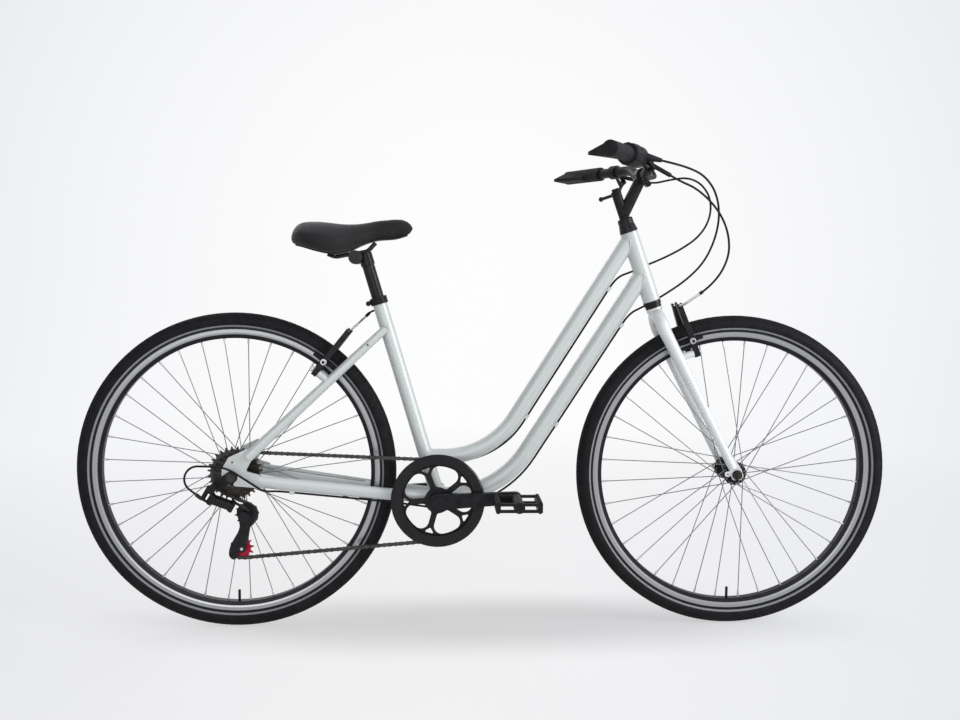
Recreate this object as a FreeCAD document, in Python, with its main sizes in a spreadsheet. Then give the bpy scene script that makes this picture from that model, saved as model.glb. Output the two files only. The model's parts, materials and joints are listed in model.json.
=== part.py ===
"""Step-through hybrid bicycle with 700C wheels, rim brakes and a seven-speed rear derailleur.

Millimetres. X points forward, Y to the rider's left, Z up.
The origin lies on the ground midway between the axles.
"""
import FreeCAD, Part
import math
import os

import Sketcher
from FreeCAD import Placement, Rotation, Vector

# Driving dimensions
DIMENSIONS = {
    # wheels
    "wheelbase": "1102", "wheel_radius": "349", "tyre_section_radius": "18.5", "tyre_wall": "4.5",
    "tyre_hollow_lift": "1",
    "rim_flange_radius": "319", "rim_track_depth": "12.5", "rim_depth": "25", "rim_width": "24",
    "rim_inner_width": "16", "rim_wall": "1.8", "rim_well_depth": "10",
    "spoke_radius": "1", "nipple_radius": "2.1", "nipple_length": "12", "valve_radius": "3", "valve_length": "34",
    "flange_radius": "26", "flange_thickness": "3", "spoke_circle": "22", "hub_shell_radius": "14",
    "hub_end_radius": "11", "hub_bore": "8.5", "hub_end_gap": "4",
    "freewheel_seat_radius": "17", "front_flange_offset": "33", "rear_left_flange_offset": "33",
    "rear_right_flange_offset": "17",
    "front_axle_radius": "4.5", "rear_axle_radius": "5", "axle_nut_radius": "9", "axle_nut_width": "9",
    "front_dropout_gap": "100", "rear_dropout_gap": "135", "dropout_thickness": "6", "fork_end_thickness": "5",
    # frame
    "chainstay_run": "442", "bracket_drop": "57", "seat_angle": "73.2", "head_angle": "70.5", "fork_rake": "49.8",
    "head_low": "422", "head_length": "160", "head_radius": "19", "head_bore": "15.1",
    "upper_tube_radius": "17.5", "upper_tube_join": "569.8", "upper_tube_slope": "57.9", "upper_tube_floor": "380",
    "upper_tube_bend": "190", "lower_tube_radius": "19", "lower_tube_join": "484.2", "lower_tube_slope": "57.4",
    "lower_tube_bend": "220", "tube_wall": "1.8",
    "seat_tube_radius": "15.9", "seat_tube_length": "460", "post_radius": "13.6", "fit_clearance": "0.1",
    "bracket_radius": "21", "bracket_bore": "17.4", "bracket_width": "68",
    "chainstay_height": "27", "chainstay_width": "16", "seat_stay_top_radius": "9", "seat_stay_end_radius": "11.5",
    "seat_stay_join": "392", "seat_stay_top_offset": "19",
    # front end
    "steerer_radius": "12.7", "quill_radius": "11.1", "blade_top_radius": "14", "blade_end_radius": "9.5",
    "crown_half_width": "37", "cup_height": "9", "race_gap": "0.4", "stem_quill_top": "676",
    "stem_clamp_along": "689", "stem_clamp_ahead": "66", "bar_radius": "11.1", "bar_clamp_radius": "12.7",
    "bar_wall": "2.2", "bar_half_width": "295", "bar_sweep": "122", "bar_rise": "22", "grip_radius": "16",
    "grip_length": "122", "short_grip_length": "92",
    # brakes
    "brake_pivot_radius": "286", "brake_half_spacing": "40", "brake_arm_length": "106", "rear_brake_angle": "51.5",
    "pad_gap": "1.8", "pad_thickness": "8", "pad_length": "58", "pad_height": "10", "stud_radius": "4",
    # drive
    "chain_pitch": "12.7", "chainring_teeth": "44", "drive_sprocket_teeth": "24", "pulley_teeth": "11",
    "roller_radius": "3.85", "seat_clearance": "0.35", "chainline": "47", "smallest_sprocket_offset": "62",
    "sprocket_spacing": "5", "sprocket_thickness": "1.9", "guard_radius": "102.5", "guard_inner_radius": "78",
    "guard_offset": "51.4", "guard_thickness": "5", "crank_length": "170", "crank_offset": "57",
    "crank_thickness": "13", "crank_boss_radius": "17", "spindle_radius": "8", "pedal_length": "98",
    "pedal_width": "86", "pedal_height": "26", "pedal_gap": "8", "pedal_axle_radius": "6",
    "cage_length": "76", "link_length": "50.6", "link_rest_angle": "29.6", "link_spacing": "13",
    # seat
    "saddle_width": "172", "rail_radius": "3.5", "rail_half_spacing": "22", "post_insert": "130",
    "post_shoulder": "=seat_tube_length + 73.6", "post_neck_radius": "11.1", "post_top": "=seat_tube_length + 102",
}
SPROCKET_TEETH = (14, 16, 18, 20, 22, 24, 28)
SPOKES_PER_FLANGE = 18
GUARD_SPOKES = 5

doc = FreeCAD.newDocument("hybrid_bicycle")
sizes = doc.addObject("Spreadsheet::Sheet", "sizes")
for row, (alias, number) in enumerate(DIMENSIONS.items(), 1):
    sizes.set(f"A{row}", alias)
    sizes.set(f"B{row}", number)
    sizes.setAlias(f"B{row}", alias)
doc.recompute()

UP = Vector(0, 0, 1)
LEFT = Vector(0, 1, 0)
nodes = []


def size(name):
    """Value of one driving dimension."""
    return float(getattr(sizes, name))


def node(name, piece):
    """Marks a document object as a finished sub-part."""
    piece.Label = name
    nodes.append(piece)
    return piece


def feature(name, shape):
    piece = doc.addObject("Part::Feature", name)
    piece.Shape = shape
    return piece


def primitive(kind, name, base, heading, **formulas):
    """Part primitive with its axis along heading and its sizes bound to the sheet."""
    piece = doc.addObject("Part::" + kind, name)
    for size_name, formula in formulas.items():
        piece.setExpression(size_name, formula)
    piece.Placement = Placement(base, Rotation(UP, heading))
    return piece


def cut(name, base, *tools):
    for step, tool in enumerate(tools):
        result = doc.addObject("Part::Cut", f"{name}_cut_{step}")
        result.Base = base
        result.Tool = tool
        base = result
    return base


def fuse(name, *pieces):
    result = doc.addObject("Part::MultiFuse", name + "_fuse")
    result.Shapes = list(pieces)
    return result


def group(name, *pieces):
    result = doc.addObject("Part::Compound", name + "_group")
    result.Links = list(pieces)
    return result


def draw(sketch, corners):
    """Closed outline whose corners are pairs of formulas, each bound to the sheet."""
    first = sketch.GeometryCount
    count = len(corners)
    points = [Vector(sketch.evalExpression(a), sketch.evalExpression(b), 0) for a, b in corners]
    for i in range(count):
        sketch.addGeometry(Part.LineSegment(points[i], points[(i + 1) % count]), False)
    for i in range(count):
        sketch.addConstraint(Sketcher.Constraint("Coincident", first + i, 2, first + (i + 1) % count, 1))
    for i, (across, along) in enumerate(corners):
        for kind, formula, value in (("DistanceX", across, points[i].x), ("DistanceY", along, points[i].y)):
            index = sketch.addConstraint(Sketcher.Constraint(kind, -1, 1, first + i, 1, value))
            sketch.setExpression(f"Constraints[{index}]", formula)


def turned(name, base, heading, *loops):
    """Body of revolution about heading; each loop lists (radius, distance along the axis)."""
    body = doc.addObject("PartDesign::Body", name)
    sketch = body.newObject("Sketcher::SketchObject", name + "_profile")
    plane = next(f for f in body.Origin.OriginFeatures if f.Role == "XZ_Plane")
    sketch.AttachmentSupport = (plane, [""])
    sketch.MapMode = "FlatFace"
    for corners in loops:
        draw(sketch, corners)
    turn = body.newObject("PartDesign::Revolution", name + "_turn")
    turn.Profile = sketch
    turn.ReferenceAxis = (sketch, ["V_Axis"])
    turn.Angle = 360
    body.Tip = turn
    body.Placement = Placement(base, Rotation(UP, heading))
    return body


def unit(vector):
    return Vector(vector).normalize()


def bend(before, corner, after, radius):
    """Start, middle and end of the arc that rounds a corner."""
    inward = unit(before - corner)
    outward = unit(after - corner)
    half = inward.getAngle(outward) / 2
    reach = radius / math.tan(half)
    middle = unit(inward + outward)
    centre = corner + middle * (radius / math.sin(half))
    return corner + inward * reach, centre - middle * radius, corner + outward * reach


def path(points, radii):
    """Wire of straight runs joined by tangent arcs, one radius for each inner point."""
    edges = []
    start = points[0]
    for i, radius in enumerate(radii, 1):
        first, middle, last = bend(points[i - 1], points[i], points[i + 1], radius)
        if start.distanceToPoint(first) > 0.001:
            edges.append(Part.LineSegment(start, first).toShape())
        edges.append(Part.Arc(first, middle, last).toShape())
        start = last
    edges.append(Part.LineSegment(start, points[-1]).toShape())
    return Part.Wire(edges)


def rounded(points, radius):
    """Closed outline with every corner rounded."""
    count = len(points)
    arcs = [bend(points[i - 1], points[i], points[(i + 1) % count], radius) for i in range(count)]
    edges = []
    for i, (first, middle, last) in enumerate(arcs):
        edges.append(Part.Arc(first, middle, last).toShape())
        following = arcs[(i + 1) % count][0]
        if last.distanceToPoint(following) > 0.001:
            edges.append(Part.LineSegment(last, following).toShape())
    return Part.Wire(edges)


def slab(points, radius, thickness):
    """Plate from a rounded outline; thickness is a vector."""
    return Part.Face(rounded(points, radius)).extrude(thickness)


def pipe(wire, profile):
    shell = Part.BRepOffsetAPI.MakePipeShell(wire)
    shell.add(profile)
    shell.build()
    shell.makeSolid()
    return shell.shape()


def tube(points, radii, radius, wall=0):
    """Round tube along a path; a wall of zero makes a rod."""
    wire = path(points, radii)
    heading = points[1] - points[0]
    solid = pipe(wire, Part.Wire([Part.makeCircle(radius, points[0], heading)]))
    if wall:
        solid = solid.cut(pipe(wire, Part.Wire([Part.makeCircle(radius - wall, points[0], heading)])))
    return solid


def rod(start, end, radius):
    return Part.makeCylinder(radius, start.distanceToPoint(end), start, end - start)


def taper(start, end, first_radius, last_radius):
    return Part.makeCone(first_radius, last_radius, start.distanceToPoint(end), start, end - start)


def mirrored(shape):
    """The same piece on the other side of the bicycle."""
    return shape.mirror(Vector(0, 0, 0), LEFT)


def pair(shape):
    return Part.makeCompound([shape, mirrored(shape)])


# Reference points and directions
half_base = size("wheelbase") / 2
rear_axle = Vector(-half_base, 0, size("wheel_radius"))
front_axle = Vector(half_base, 0, size("wheel_radius"))
bracket = rear_axle + Vector(size("chainstay_run"), 0, -size("bracket_drop"))
head_lean = math.radians(90 - size("head_angle"))
seat_lean = math.radians(90 - size("seat_angle"))
steer_up = Vector(-math.sin(head_lean), 0, math.cos(head_lean))
steer_ahead = Vector(math.cos(head_lean), 0, math.sin(head_lean))
steer_foot = front_axle - steer_ahead * size("fork_rake")
seat_up = Vector(-math.sin(seat_lean), 0, math.cos(seat_lean))
seat_ahead = Vector(math.cos(seat_lean), 0, math.sin(seat_lean))
head_top = size("head_low") + size("head_length")
crown = size("head_low") - size("cup_height") - 7


def steer(along, ahead=0, left=0):
    """Point in the steering axis's own frame, measured from beside the front axle."""
    return steer_foot + steer_up * along + steer_ahead * ahead + LEFT * left


def seat(along, ahead=0, left=0):
    """Point in the seat tube's own frame, measured from the crank axis."""
    return bracket + seat_up * along + seat_ahead * ahead + LEFT * left


# Head tube, seat tube and bottom bracket shell
head_outer = primitive("Cylinder", "head_outer", steer(size("head_low")), steer_up,
                       Radius="sizes.head_radius", Height="sizes.head_length")
head_hole = primitive("Cylinder", "head_hole", steer(size("head_low")), steer_up,
                      Radius="sizes.head_bore", Height="sizes.head_length")
node("head_tube", cut("head_tube", head_outer, head_hole))
head_clear = primitive("Cylinder", "head_clear", steer(size("head_low") - size("head_length") / 2), steer_up,
                       Radius="sizes.head_radius", Height="2 * sizes.head_length")

bracket_side = bracket - LEFT * (size("bracket_width") / 2)
shell_outer = primitive("Cylinder", "shell_outer", bracket_side, LEFT,
                        Radius="sizes.bracket_radius", Height="sizes.bracket_width")
shell_hole = primitive("Cylinder", "shell_hole", bracket_side, LEFT,
                       Radius="sizes.bracket_bore", Height="sizes.bracket_width")
node("bottom_bracket_shell", cut("bottom_bracket_shell", shell_outer, shell_hole))

seat_outer = primitive("Cylinder", "seat_outer", bracket, seat_up,
                       Radius="sizes.seat_tube_radius", Height="sizes.seat_tube_length")
seat_hole = primitive("Cylinder", "seat_hole", bracket, seat_up,
                      Radius="sizes.post_radius + sizes.fit_clearance", Height="sizes.seat_tube_length")
node("seat_tube", cut("seat_tube", seat_outer, seat_hole, shell_outer))

# Main tubes, bent from the head tube to the seat tube and to the bottom bracket, with cable stops below them
CABLE_RADIUS = 2.3
STOP_RADIUS = 4.2
STOP_LENGTH = 11


def main_tube_points(join, slope, floor, end):
    """Axis of a main tube: down from the head tube at a slope, then level at the floor height."""
    start = steer(join)
    run = (start.z - floor) / math.tan(math.radians(slope))
    return [start, Vector(start.x - run, 0, floor), end]


def beside(points, offset):
    """The same bent axis moved outwards below the tube."""
    start, corner, end = points
    down = unit(corner - start)
    below = Vector(-down.z, 0, down.x)
    if below.z > 0:
        below = below * -1
    level = Vector(0, 0, -1)
    shift = (below + level) * (offset / (1 + below.dot(level)))
    return [start + below * offset, corner + shift, end + level * offset]


def cable_stop(line, distance):
    """Barrel under a main tube; its bore lets the cable pass."""
    start, corner = line[0], line[1]
    heading = unit(corner - start)
    base = start + heading * distance
    return rod(base, base + heading * STOP_LENGTH, STOP_RADIUS), rod(
        base - heading, base + heading * (STOP_LENGTH + 1), CABLE_RADIUS + 0.2)


floor_join = seat((size("upper_tube_floor") - bracket.z) / math.cos(seat_lean))
upper_line = main_tube_points(size("upper_tube_join"), size("upper_tube_slope"), size("upper_tube_floor"),
                              floor_join)
lower_line = main_tube_points(size("lower_tube_join"), size("lower_tube_slope"), bracket.z, bracket)
CABLE_BELOW = 3.6
upper_cable = beside(upper_line, size("upper_tube_radius") + CABLE_BELOW)
lower_cable = beside(lower_line, size("lower_tube_radius") + CABLE_BELOW)
UPPER_STOPS = (116, 452)
LOWER_STOPS = (115, 378)


def main_tube(name, line, radius, bend_radius, cable_line, stops, *neighbours):
    outer = tube(line, [bend_radius], radius)
    inner = tube(line, [bend_radius], radius - size("tube_wall"))
    shape = outer
    for distance in stops:
        barrel, bore = cable_stop(cable_line, distance)
        shape = shape.fuse(barrel).cut(bore)
    whole = feature(name + "_whole", shape.cut(inner))
    node(name, cut(name, whole, *neighbours))


main_tube("upper_main_tube", upper_line, size("upper_tube_radius"), size("upper_tube_bend"), upper_cable,
          UPPER_STOPS, head_clear, seat_outer)
main_tube("lower_main_tube", lower_line, size("lower_tube_radius"), size("lower_tube_bend"), lower_cable,
          LOWER_STOPS, head_clear, shell_outer, seat_outer)

# Dropouts: plates that hold the rear axle and end the stays
dropout_inner = size("rear_dropout_gap") / 2


def dropout_point(forward, up):
    return rear_axle + Vector(forward, -dropout_inner, up)


DROPOUT_OUTLINE = ((-21, -8), (-12, -18), (56, -24), (60, 4), (30, 12), (48, 46), (32, 60), (-6, 42), (-20, 18))
EYELET = Vector(2, 0, 32)
EYELET_BORE = 2.1
plate_thickness = LEFT * -size("dropout_thickness")
dropout_plate = slab([dropout_point(*p) for p in DROPOUT_OUTLINE], 4, plate_thickness)
slot_half = size("rear_axle_radius") + size("fit_clearance")
slot_round = Part.makeCylinder(slot_half, 40, rear_axle - LEFT * 90, LEFT)
slot_box = Part.makeBox(2 * slot_half, 40, 30, rear_axle + Vector(-slot_half, -90, -30))
eyelet_hole = Part.makeCylinder(EYELET_BORE, 40, rear_axle + EYELET - LEFT * 90, LEFT)
dropout = dropout_plate.cut(slot_round.fuse(slot_box)).cut(eyelet_hole)
node("dropouts", feature("dropouts", pair(dropout)))

# Chain stays: oval tubes from the bottom bracket shell to the dropouts
STAY_WALL = 1.8
stay_points = [bracket + Vector(-8, -24, 1), bracket + Vector(-106, -30, 10), rear_axle + Vector(44, -66, -10)]


def oval(centre, height, width, heading):
    """Upright oval across a path that heads roughly along X."""
    ellipse = Part.Ellipse(centre, height / 2, width / 2)
    wire = Part.Wire([ellipse.toShape()])
    wire.Placement = Placement(centre, Rotation(UP, heading)).multiply(Placement(centre * -1, Rotation()))
    return wire


def oval_tube(points, bend_radius, height, width):
    wire = path(points, [bend_radius])
    return pipe(wire, oval(points[0], height, width, points[1] - points[0]))


stay_outer = oval_tube(stay_points, 300, size("chainstay_height"), size("chainstay_width"))
stay_inner = oval_tube(stay_points, 300, size("chainstay_height") - 2 * STAY_WALL,
                       size("chainstay_width") - 2 * STAY_WALL)
# The offcut outside the dropout is dropped
stay_pieces = stay_outer.cut(stay_inner).cut(dropout_plate).Solids
chain_stay = max(stay_pieces, key=lambda piece: piece.Volume)
stay_run = stay_points[2] - stay_points[1]
stay_below = UP * -(size("chainstay_height") / 2 + CABLE_BELOW - 0.2)
stay_stop = stay_points[1] + stay_below + stay_run * 0.7
stop_heading = unit(stay_run) * STOP_LENGTH
stop_barrel = rod(stay_stop, stay_stop + stop_heading, STOP_RADIUS)
stop_bore = rod(stay_stop - stop_heading, stay_stop + stop_heading * 2, CABLE_RADIUS + 0.2)
right_stay = chain_stay.fuse(stop_barrel.cut(stay_inner)).cut(stop_bore)
stay_pair = feature("chain_stay_pair", Part.makeCompound([right_stay, mirrored(chain_stay)]))
stay_cutter = primitive("Cylinder", "stay_cutter", bracket - LEFT * size("bracket_width"), LEFT,
                        Radius="sizes.bracket_radius", Height="2 * sizes.bracket_width")
node("chain_stays", cut("chain_stays", stay_pair, stay_cutter))

# Seat stays with brake studs on their rear side and rack holes near the top
rear_angle = math.radians(size("rear_brake_angle"))
rear_radial = Vector(math.cos(rear_angle), 0, math.sin(rear_angle))
rear_tangent = Vector(-math.sin(rear_angle), 0, math.cos(rear_angle))
STUD_HEAD = (6.5, 8.6, 12)
BOSS_RADIUS = 8
BOSS_TOP = -5.6


def rear_brake_point(radial, tangent, left):
    return rear_axle + rear_radial * radial + rear_tangent * tangent + LEFT * left


def front_brake_point(radial, tangent, left):
    return front_axle + steer_up * radial + steer_ahead * tangent + LEFT * left


def brake_stud(point, boss_start):
    """Boss, stud and bolt head that carry one right-hand brake arm."""
    r = size("brake_pivot_radius")
    y = -size("brake_half_spacing")
    head_radius, head_start, head_end = STUD_HEAD
    boss = rod(point(r, boss_start, y), point(r, BOSS_TOP, y), BOSS_RADIUS)
    stud = rod(point(r, boss_start, y), point(r, head_start, y), size("stud_radius"))
    head = rod(point(r, head_start, y), point(r, head_end, y), head_radius)
    return boss.fuse(stud).fuse(head)


stay_top = seat(size("seat_stay_join"), -2, -size("seat_stay_top_offset"))
stay_end = rear_axle + Vector(34, -dropout_inner - 2.5, 42)
stay_solid = taper(stay_top, stay_end, size("seat_stay_top_radius"), size("seat_stay_end_radius"))
stay_core = taper(stay_top, stay_end, size("seat_stay_top_radius") - STAY_WALL,
                  size("seat_stay_end_radius") - STAY_WALL)
rack_spot = stay_top + (stay_end - stay_top) * 0.13
rack_hole = rod(rack_spot, rack_spot - LEFT * 30, EYELET_BORE)
studded = stay_solid.fuse(brake_stud(rear_brake_point, -30)).cut(stay_core).cut(rack_hole)
slotted = max(studded.cut(dropout_plate).Solids, key=lambda solid: solid.Volume)
seat_stay_pair = feature("seat_stay_pair", pair(slotted))
node("seat_stays", cut("seat_stays", seat_stay_pair, seat_outer))

# Headset and bottom bracket cups
cup_bore = "sizes.steerer_radius + 0.7"
lower_cup = turned("lower_cup", steer(size("head_low")), steer_up, [
    (cup_bore, "-sizes.cup_height"), ("sizes.head_radius + 0.6", "-sizes.cup_height"),
    ("sizes.head_radius + 0.6", "0"), ("sizes.head_bore", "0"), ("sizes.head_bore", "12"), (cup_bore, "12")])
upper_cup = turned("upper_cup", steer(head_top), steer_up, [
    (cup_bore, "-12"), ("sizes.head_bore", "-12"), ("sizes.head_bore", "0"), ("sizes.head_radius + 1.5", "0"),
    ("sizes.head_radius", "sizes.cup_height"), (cup_bore, "sizes.cup_height")])
spindle_hole = "sizes.spindle_radius + 0.3"
CUP_FLANGE = "4"


def bracket_cup(name, side):
    base = bracket + LEFT * (side * size("bracket_width") / 2)
    return turned(name, base, LEFT * side, [
        (spindle_hole, "-14"), ("sizes.bracket_bore", "-14"), ("sizes.bracket_bore", "0"),
        ("sizes.bracket_radius", "0"), ("sizes.bracket_radius - 1", CUP_FLANGE), (spindle_hole, CUP_FLANGE)])


node("bearing_cups", group("bearing_cups", lower_cup, upper_cup, bracket_cup("right_cup", -1),
                           bracket_cup("left_cup", 1)))

# Seat collar: ring with a bolt lug behind the seat tube
COLLAR_HEIGHT = 16
collar_base = seat(size("seat_tube_length") - COLLAR_HEIGHT + 2)
collar_outer = primitive("Cylinder", "collar_outer", collar_base, seat_up,
                         Radius="sizes.seat_tube_radius + 3.2", Height=str(COLLAR_HEIGHT))
collar_hole = primitive("Cylinder", "collar_hole", collar_base, seat_up,
                        Radius="sizes.seat_tube_radius", Height=str(COLLAR_HEIGHT))
lug_centre = seat(size("seat_tube_length") - COLLAR_HEIGHT / 2 + 2, -size("seat_tube_radius") - 7.5)
lug = feature("collar_lug", rod(lug_centre - LEFT * 9, lug_centre + LEFT * 9, 5.5).fuse(
    rod(lug_centre - LEFT * 12, lug_centre + LEFT * 12, 3.6)))
node("seat_collar", cut("seat_collar", fuse("seat_collar", collar_outer, lug), collar_hole))

# Rear axle: axle, cones and nuts, clamped in the dropouts
AXLE_TAIL = 14


def axle_set(name, centre, radius_name, gap_name, plate_name, clamp):
    """Threaded axle with a cone inside each dropout and a nut outside; clamp is what the right nut also holds."""
    half = f"sizes.{gap_name} / 2"
    outer = f"sizes.{gap_name} / 2 + sizes.{plate_name}"
    radius = "sizes." + radius_name
    reach = size(gap_name) / 2 + size(plate_name) + AXLE_TAIL
    bar = primitive("Cylinder", name + "_bar", centre - LEFT * reach, LEFT,
                    Radius=radius, Height=f"2 * ({outer} + {AXLE_TAIL})")
    pieces = [bar]
    for side, extra in ((-1, clamp), (1, 0)):
        pieces.append(turned(f"{name}_cone_{side + 1}", centre, LEFT * side, [
            (radius, half + " - 14"), ("sizes.hub_bore - 1", half + " - 14"), ("sizes.hub_bore - 1", half + " - 4"),
            ("sizes.hub_bore", half + " - 4"), ("sizes.hub_bore", half), (radius, half)]))
        start = f"{outer} + {extra}"
        pieces.append(turned(f"{name}_nut_{side + 1}", centre, LEFT * side, [
            (radius, start), ("sizes.axle_nut_radius + 2", start), ("sizes.axle_nut_radius + 2", start + " + 2"),
            ("sizes.axle_nut_radius", start + " + 2"), ("sizes.axle_nut_radius", f"{start} + sizes.axle_nut_width"),
            (radius, f"{start} + sizes.axle_nut_width")]))
    return group(name, *pieces)


MOUNT_PLATE = 3
node("rear_axle", axle_set("rear_axle", rear_axle, "rear_axle_radius", "rear_dropout_gap", "dropout_thickness",
                           MOUNT_PLATE))
node("front_axle", axle_set("front_axle", front_axle, "front_axle_radius", "front_dropout_gap",
                            "fork_end_thickness", 0))

# Wheels
tyre_centre = size("wheel_radius") - size("tyre_section_radius")
flange_half = size("rim_width") / 2
well_half = flange_half - 2.4
TUBE_GAP = 0.3


def ring_from(points_and_arcs, centre):
    """Solid of revolution about a wheel axis from edges drawn as (radius, left)."""
    wire = Part.Wire(points_and_arcs)
    face = Part.Face(wire)
    ring = face.revolve(Vector(0, 0, 0), LEFT, 360)
    ring.translate(centre)
    return ring


def tyre_edges():
    """Section of a tyre: round outside and inside, with two beads in the rim's well."""
    outer = size("tyre_section_radius")
    inner = outer - size("tyre_wall")
    hollow_centre = tyre_centre + size("tyre_hollow_lift")
    seat_radius = size("rim_flange_radius") + TUBE_GAP
    outer_half = math.sqrt(outer ** 2 - (tyre_centre - seat_radius) ** 2)
    bead_half = well_half - TUBE_GAP
    bead_inner = bead_half - 2.6
    bead_foot = size("rim_flange_radius") - 7.6
    inner_foot = hollow_centre - math.sqrt(inner ** 2 - bead_inner ** 2)
    left = [(seat_radius, outer_half), (seat_radius, bead_half), (bead_foot, bead_half), (bead_foot, bead_inner),
            (inner_foot, bead_inner)]
    corners = [Vector(r, y, 0) for r, y in left]
    other = [Vector(r, -y, 0) for r, y in reversed(left)]
    edges = [Part.LineSegment(a, b).toShape() for a, b in zip(corners, corners[1:])]
    edges.append(Part.Arc(corners[-1], Vector(hollow_centre + inner, 0, 0), other[0]).toShape())
    edges += [Part.LineSegment(a, b).toShape() for a, b in zip(other, other[1:])]
    edges.append(Part.Arc(other[-1], Vector(tyre_centre + outer, 0, 0), corners[0]).toShape())
    return edges


def valve_rod(centre, radius):
    foot = tyre_centre - size("tyre_section_radius") + size("tyre_wall") + 2
    top = size("rim_flange_radius") - size("rim_depth") - size("valve_length") + 10
    return rod(centre - UP * foot, centre - UP * top, radius)


def rim_loops():
    flange = "sizes.rim_flange_radius"
    half = "sizes.rim_width / 2"
    track = flange + " - sizes.rim_track_depth"
    inside = flange + " - sizes.rim_depth"
    well = flange + " - sizes.rim_well_depth"
    inner_half = "sizes.rim_inner_width / 2"
    wall = "sizes.rim_wall"
    outline = [(flange, half), (track, half), (inside, inner_half), (inside, "-" + inner_half), (track, "-" + half),
               (flange, "-" + half), (flange, f"-{half} + 2.4"), (well, f"-{half} + 2.4"), (well, half + " - 2.4"),
               (flange, half + " - 2.4")]
    top = f"{well} - {wall}"
    bottom = f"{inside} + {wall}"
    chamber = [(top, f"{half} - {wall}"), (bottom, f"{inner_half} - {wall}"), (bottom, f"-{inner_half} + {wall}"),
               (top, f"-{half} + {wall}")]
    return outline, chamber


SPOKE_PHASE = 5
HEAD_RADIUS = 1.9


def flange_holes(centre, offset, side):
    """Angle and position of each spoke hole in one flange."""
    step = 360 / SPOKES_PER_FLANGE
    start = SPOKE_PHASE + (0 if side > 0 else step / 2)
    for k in range(SPOKES_PER_FLANGE):
        angle = math.radians(start + step * k)
        middle = offset + size("flange_thickness") / 2
        yield k, angle, centre + LEFT * (side * middle) + around(angle, size("spoke_circle"))


def around(angle, radius):
    return Vector(radius * math.cos(angle), 0, radius * math.sin(angle))


def spoke_set(centre, offsets):
    """Crossed spokes: each leaves one face of its flange and crosses three others on the way to the rim."""
    cross = 3 * 360 / SPOKES_PER_FLANGE
    rim_inside = size("rim_flange_radius") - size("rim_depth")
    radius = size("spoke_radius")
    half_flange = size("flange_thickness") / 2
    solids = []
    for side, offset in offsets.items():
        for k, angle, hole in flange_holes(centre, offset, side):
            outward = 1 if k % 2 else -1
            rim_angle = angle + math.radians(cross) * outward
            reach = half_flange + radius + (1.0 if outward > 0 else 0.15)
            elbow = hole + LEFT * (side * outward * reach)
            head = hole - LEFT * (side * outward * (half_flange + 0.1))
            end = centre + around(rim_angle, rim_inside - 0.4) + LEFT * (side * 3)
            heading = unit(end - elbow)
            wire = rod(elbow, end, radius)
            neck = rod(elbow, head, radius)
            button = rod(head, head + (head - elbow).normalize() * 1.2, HEAD_RADIUS)
            ball = Part.makeSphere(radius, elbow)
            nipple = rod(end - heading * size("nipple_length"), end, size("nipple_radius"))
            solids.append(wire.multiFuse([neck, button, ball, nipple]))
    return Part.makeCompound(solids)


def hub(name, centre, left_offset, right_offset, gap_name, sleeve):
    """Hub shell with two drilled flanges; sleeve is the radius of its right end."""
    left = "sizes." + left_offset
    right = "-sizes." + right_offset
    end = f"sizes.{gap_name} / 2 - sizes.hub_end_gap"
    web = "sizes.flange_thickness"
    bore = "sizes.hub_bore + 0.3"
    ledge = f"{right} - {web}"
    root = "sizes.spoke_circle - 3"
    right_end = f"-({end})"
    body = turned(name + "_body", centre, LEFT, [
        (bore, right_end), (sleeve, right_end), (sleeve, ledge), ("sizes.flange_radius", ledge),
        ("sizes.flange_radius", right), (root, right), ("sizes.hub_shell_radius", right + " + 5"),
        ("sizes.hub_shell_radius", left + " - 5"), (root, left), ("sizes.flange_radius", left),
        ("sizes.flange_radius", f"{left} + {web}"), ("sizes.hub_end_radius", f"{left} + {web}"),
        ("sizes.hub_end_radius", end), (bore, end)])
    drills = []
    hole_radius = size("spoke_radius") + 0.15
    for side, offset in ((1, size(left_offset)), (-1, size(right_offset))):
        for _, _, hole in flange_holes(centre, offset, side):
            drills.append(rod(hole - LEFT * 3, hole + LEFT * 3, hole_radius))
    node(name, cut(name, body, feature(name + "_drills", Part.makeCompound(drills))))


TUBE_WALL = 1.0
VALVE_BORE = 1.2


def wheel(prefix, centre, offsets):
    node(prefix + "_tyre", feature(prefix + "_tyre", ring_from(tyre_edges(), centre)))
    rim_body = turned(prefix + "_rim_body", centre, LEFT, *rim_loops())
    valve_hole = feature(prefix + "_valve_hole", valve_rod(centre, size("valve_radius") + 0.3))
    node(prefix + "_rim", cut(prefix + "_rim", rim_body, valve_hole))
    bladder = Part.makeTorus(tyre_centre + size("tyre_hollow_lift"),
                             size("tyre_section_radius") - size("tyre_wall") - TUBE_GAP, centre, LEFT)
    cavity = Part.makeTorus(tyre_centre + size("tyre_hollow_lift"),
                            size("tyre_section_radius") - size("tyre_wall") - TUBE_GAP - TUBE_WALL, centre, LEFT)
    inner_tube = bladder.fuse(valve_rod(centre, size("valve_radius"))).cut(cavity)
    inner_tube = inner_tube.cut(valve_rod(centre, VALVE_BORE))
    node(prefix + "_inner_tube", feature(prefix + "_inner_tube", inner_tube))
    node(prefix + "_spokes", feature(prefix + "_spokes", spoke_set(centre, offsets)))


wheel("front", front_axle, {1: size("front_flange_offset"), -1: size("front_flange_offset")})
wheel("rear", rear_axle, {1: size("rear_left_flange_offset"), -1: size("rear_right_flange_offset")})
hub("front_hub", front_axle, "front_flange_offset", "front_flange_offset", "front_dropout_gap",
    "sizes.hub_end_radius")
hub("rear_hub", rear_axle, "rear_left_flange_offset", "rear_right_flange_offset", "rear_dropout_gap",
    "sizes.freewheel_seat_radius")


# Toothed wheels
def pitch_radius(teeth):
    return size("chain_pitch") / (2 * math.sin(math.pi / teeth))


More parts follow.
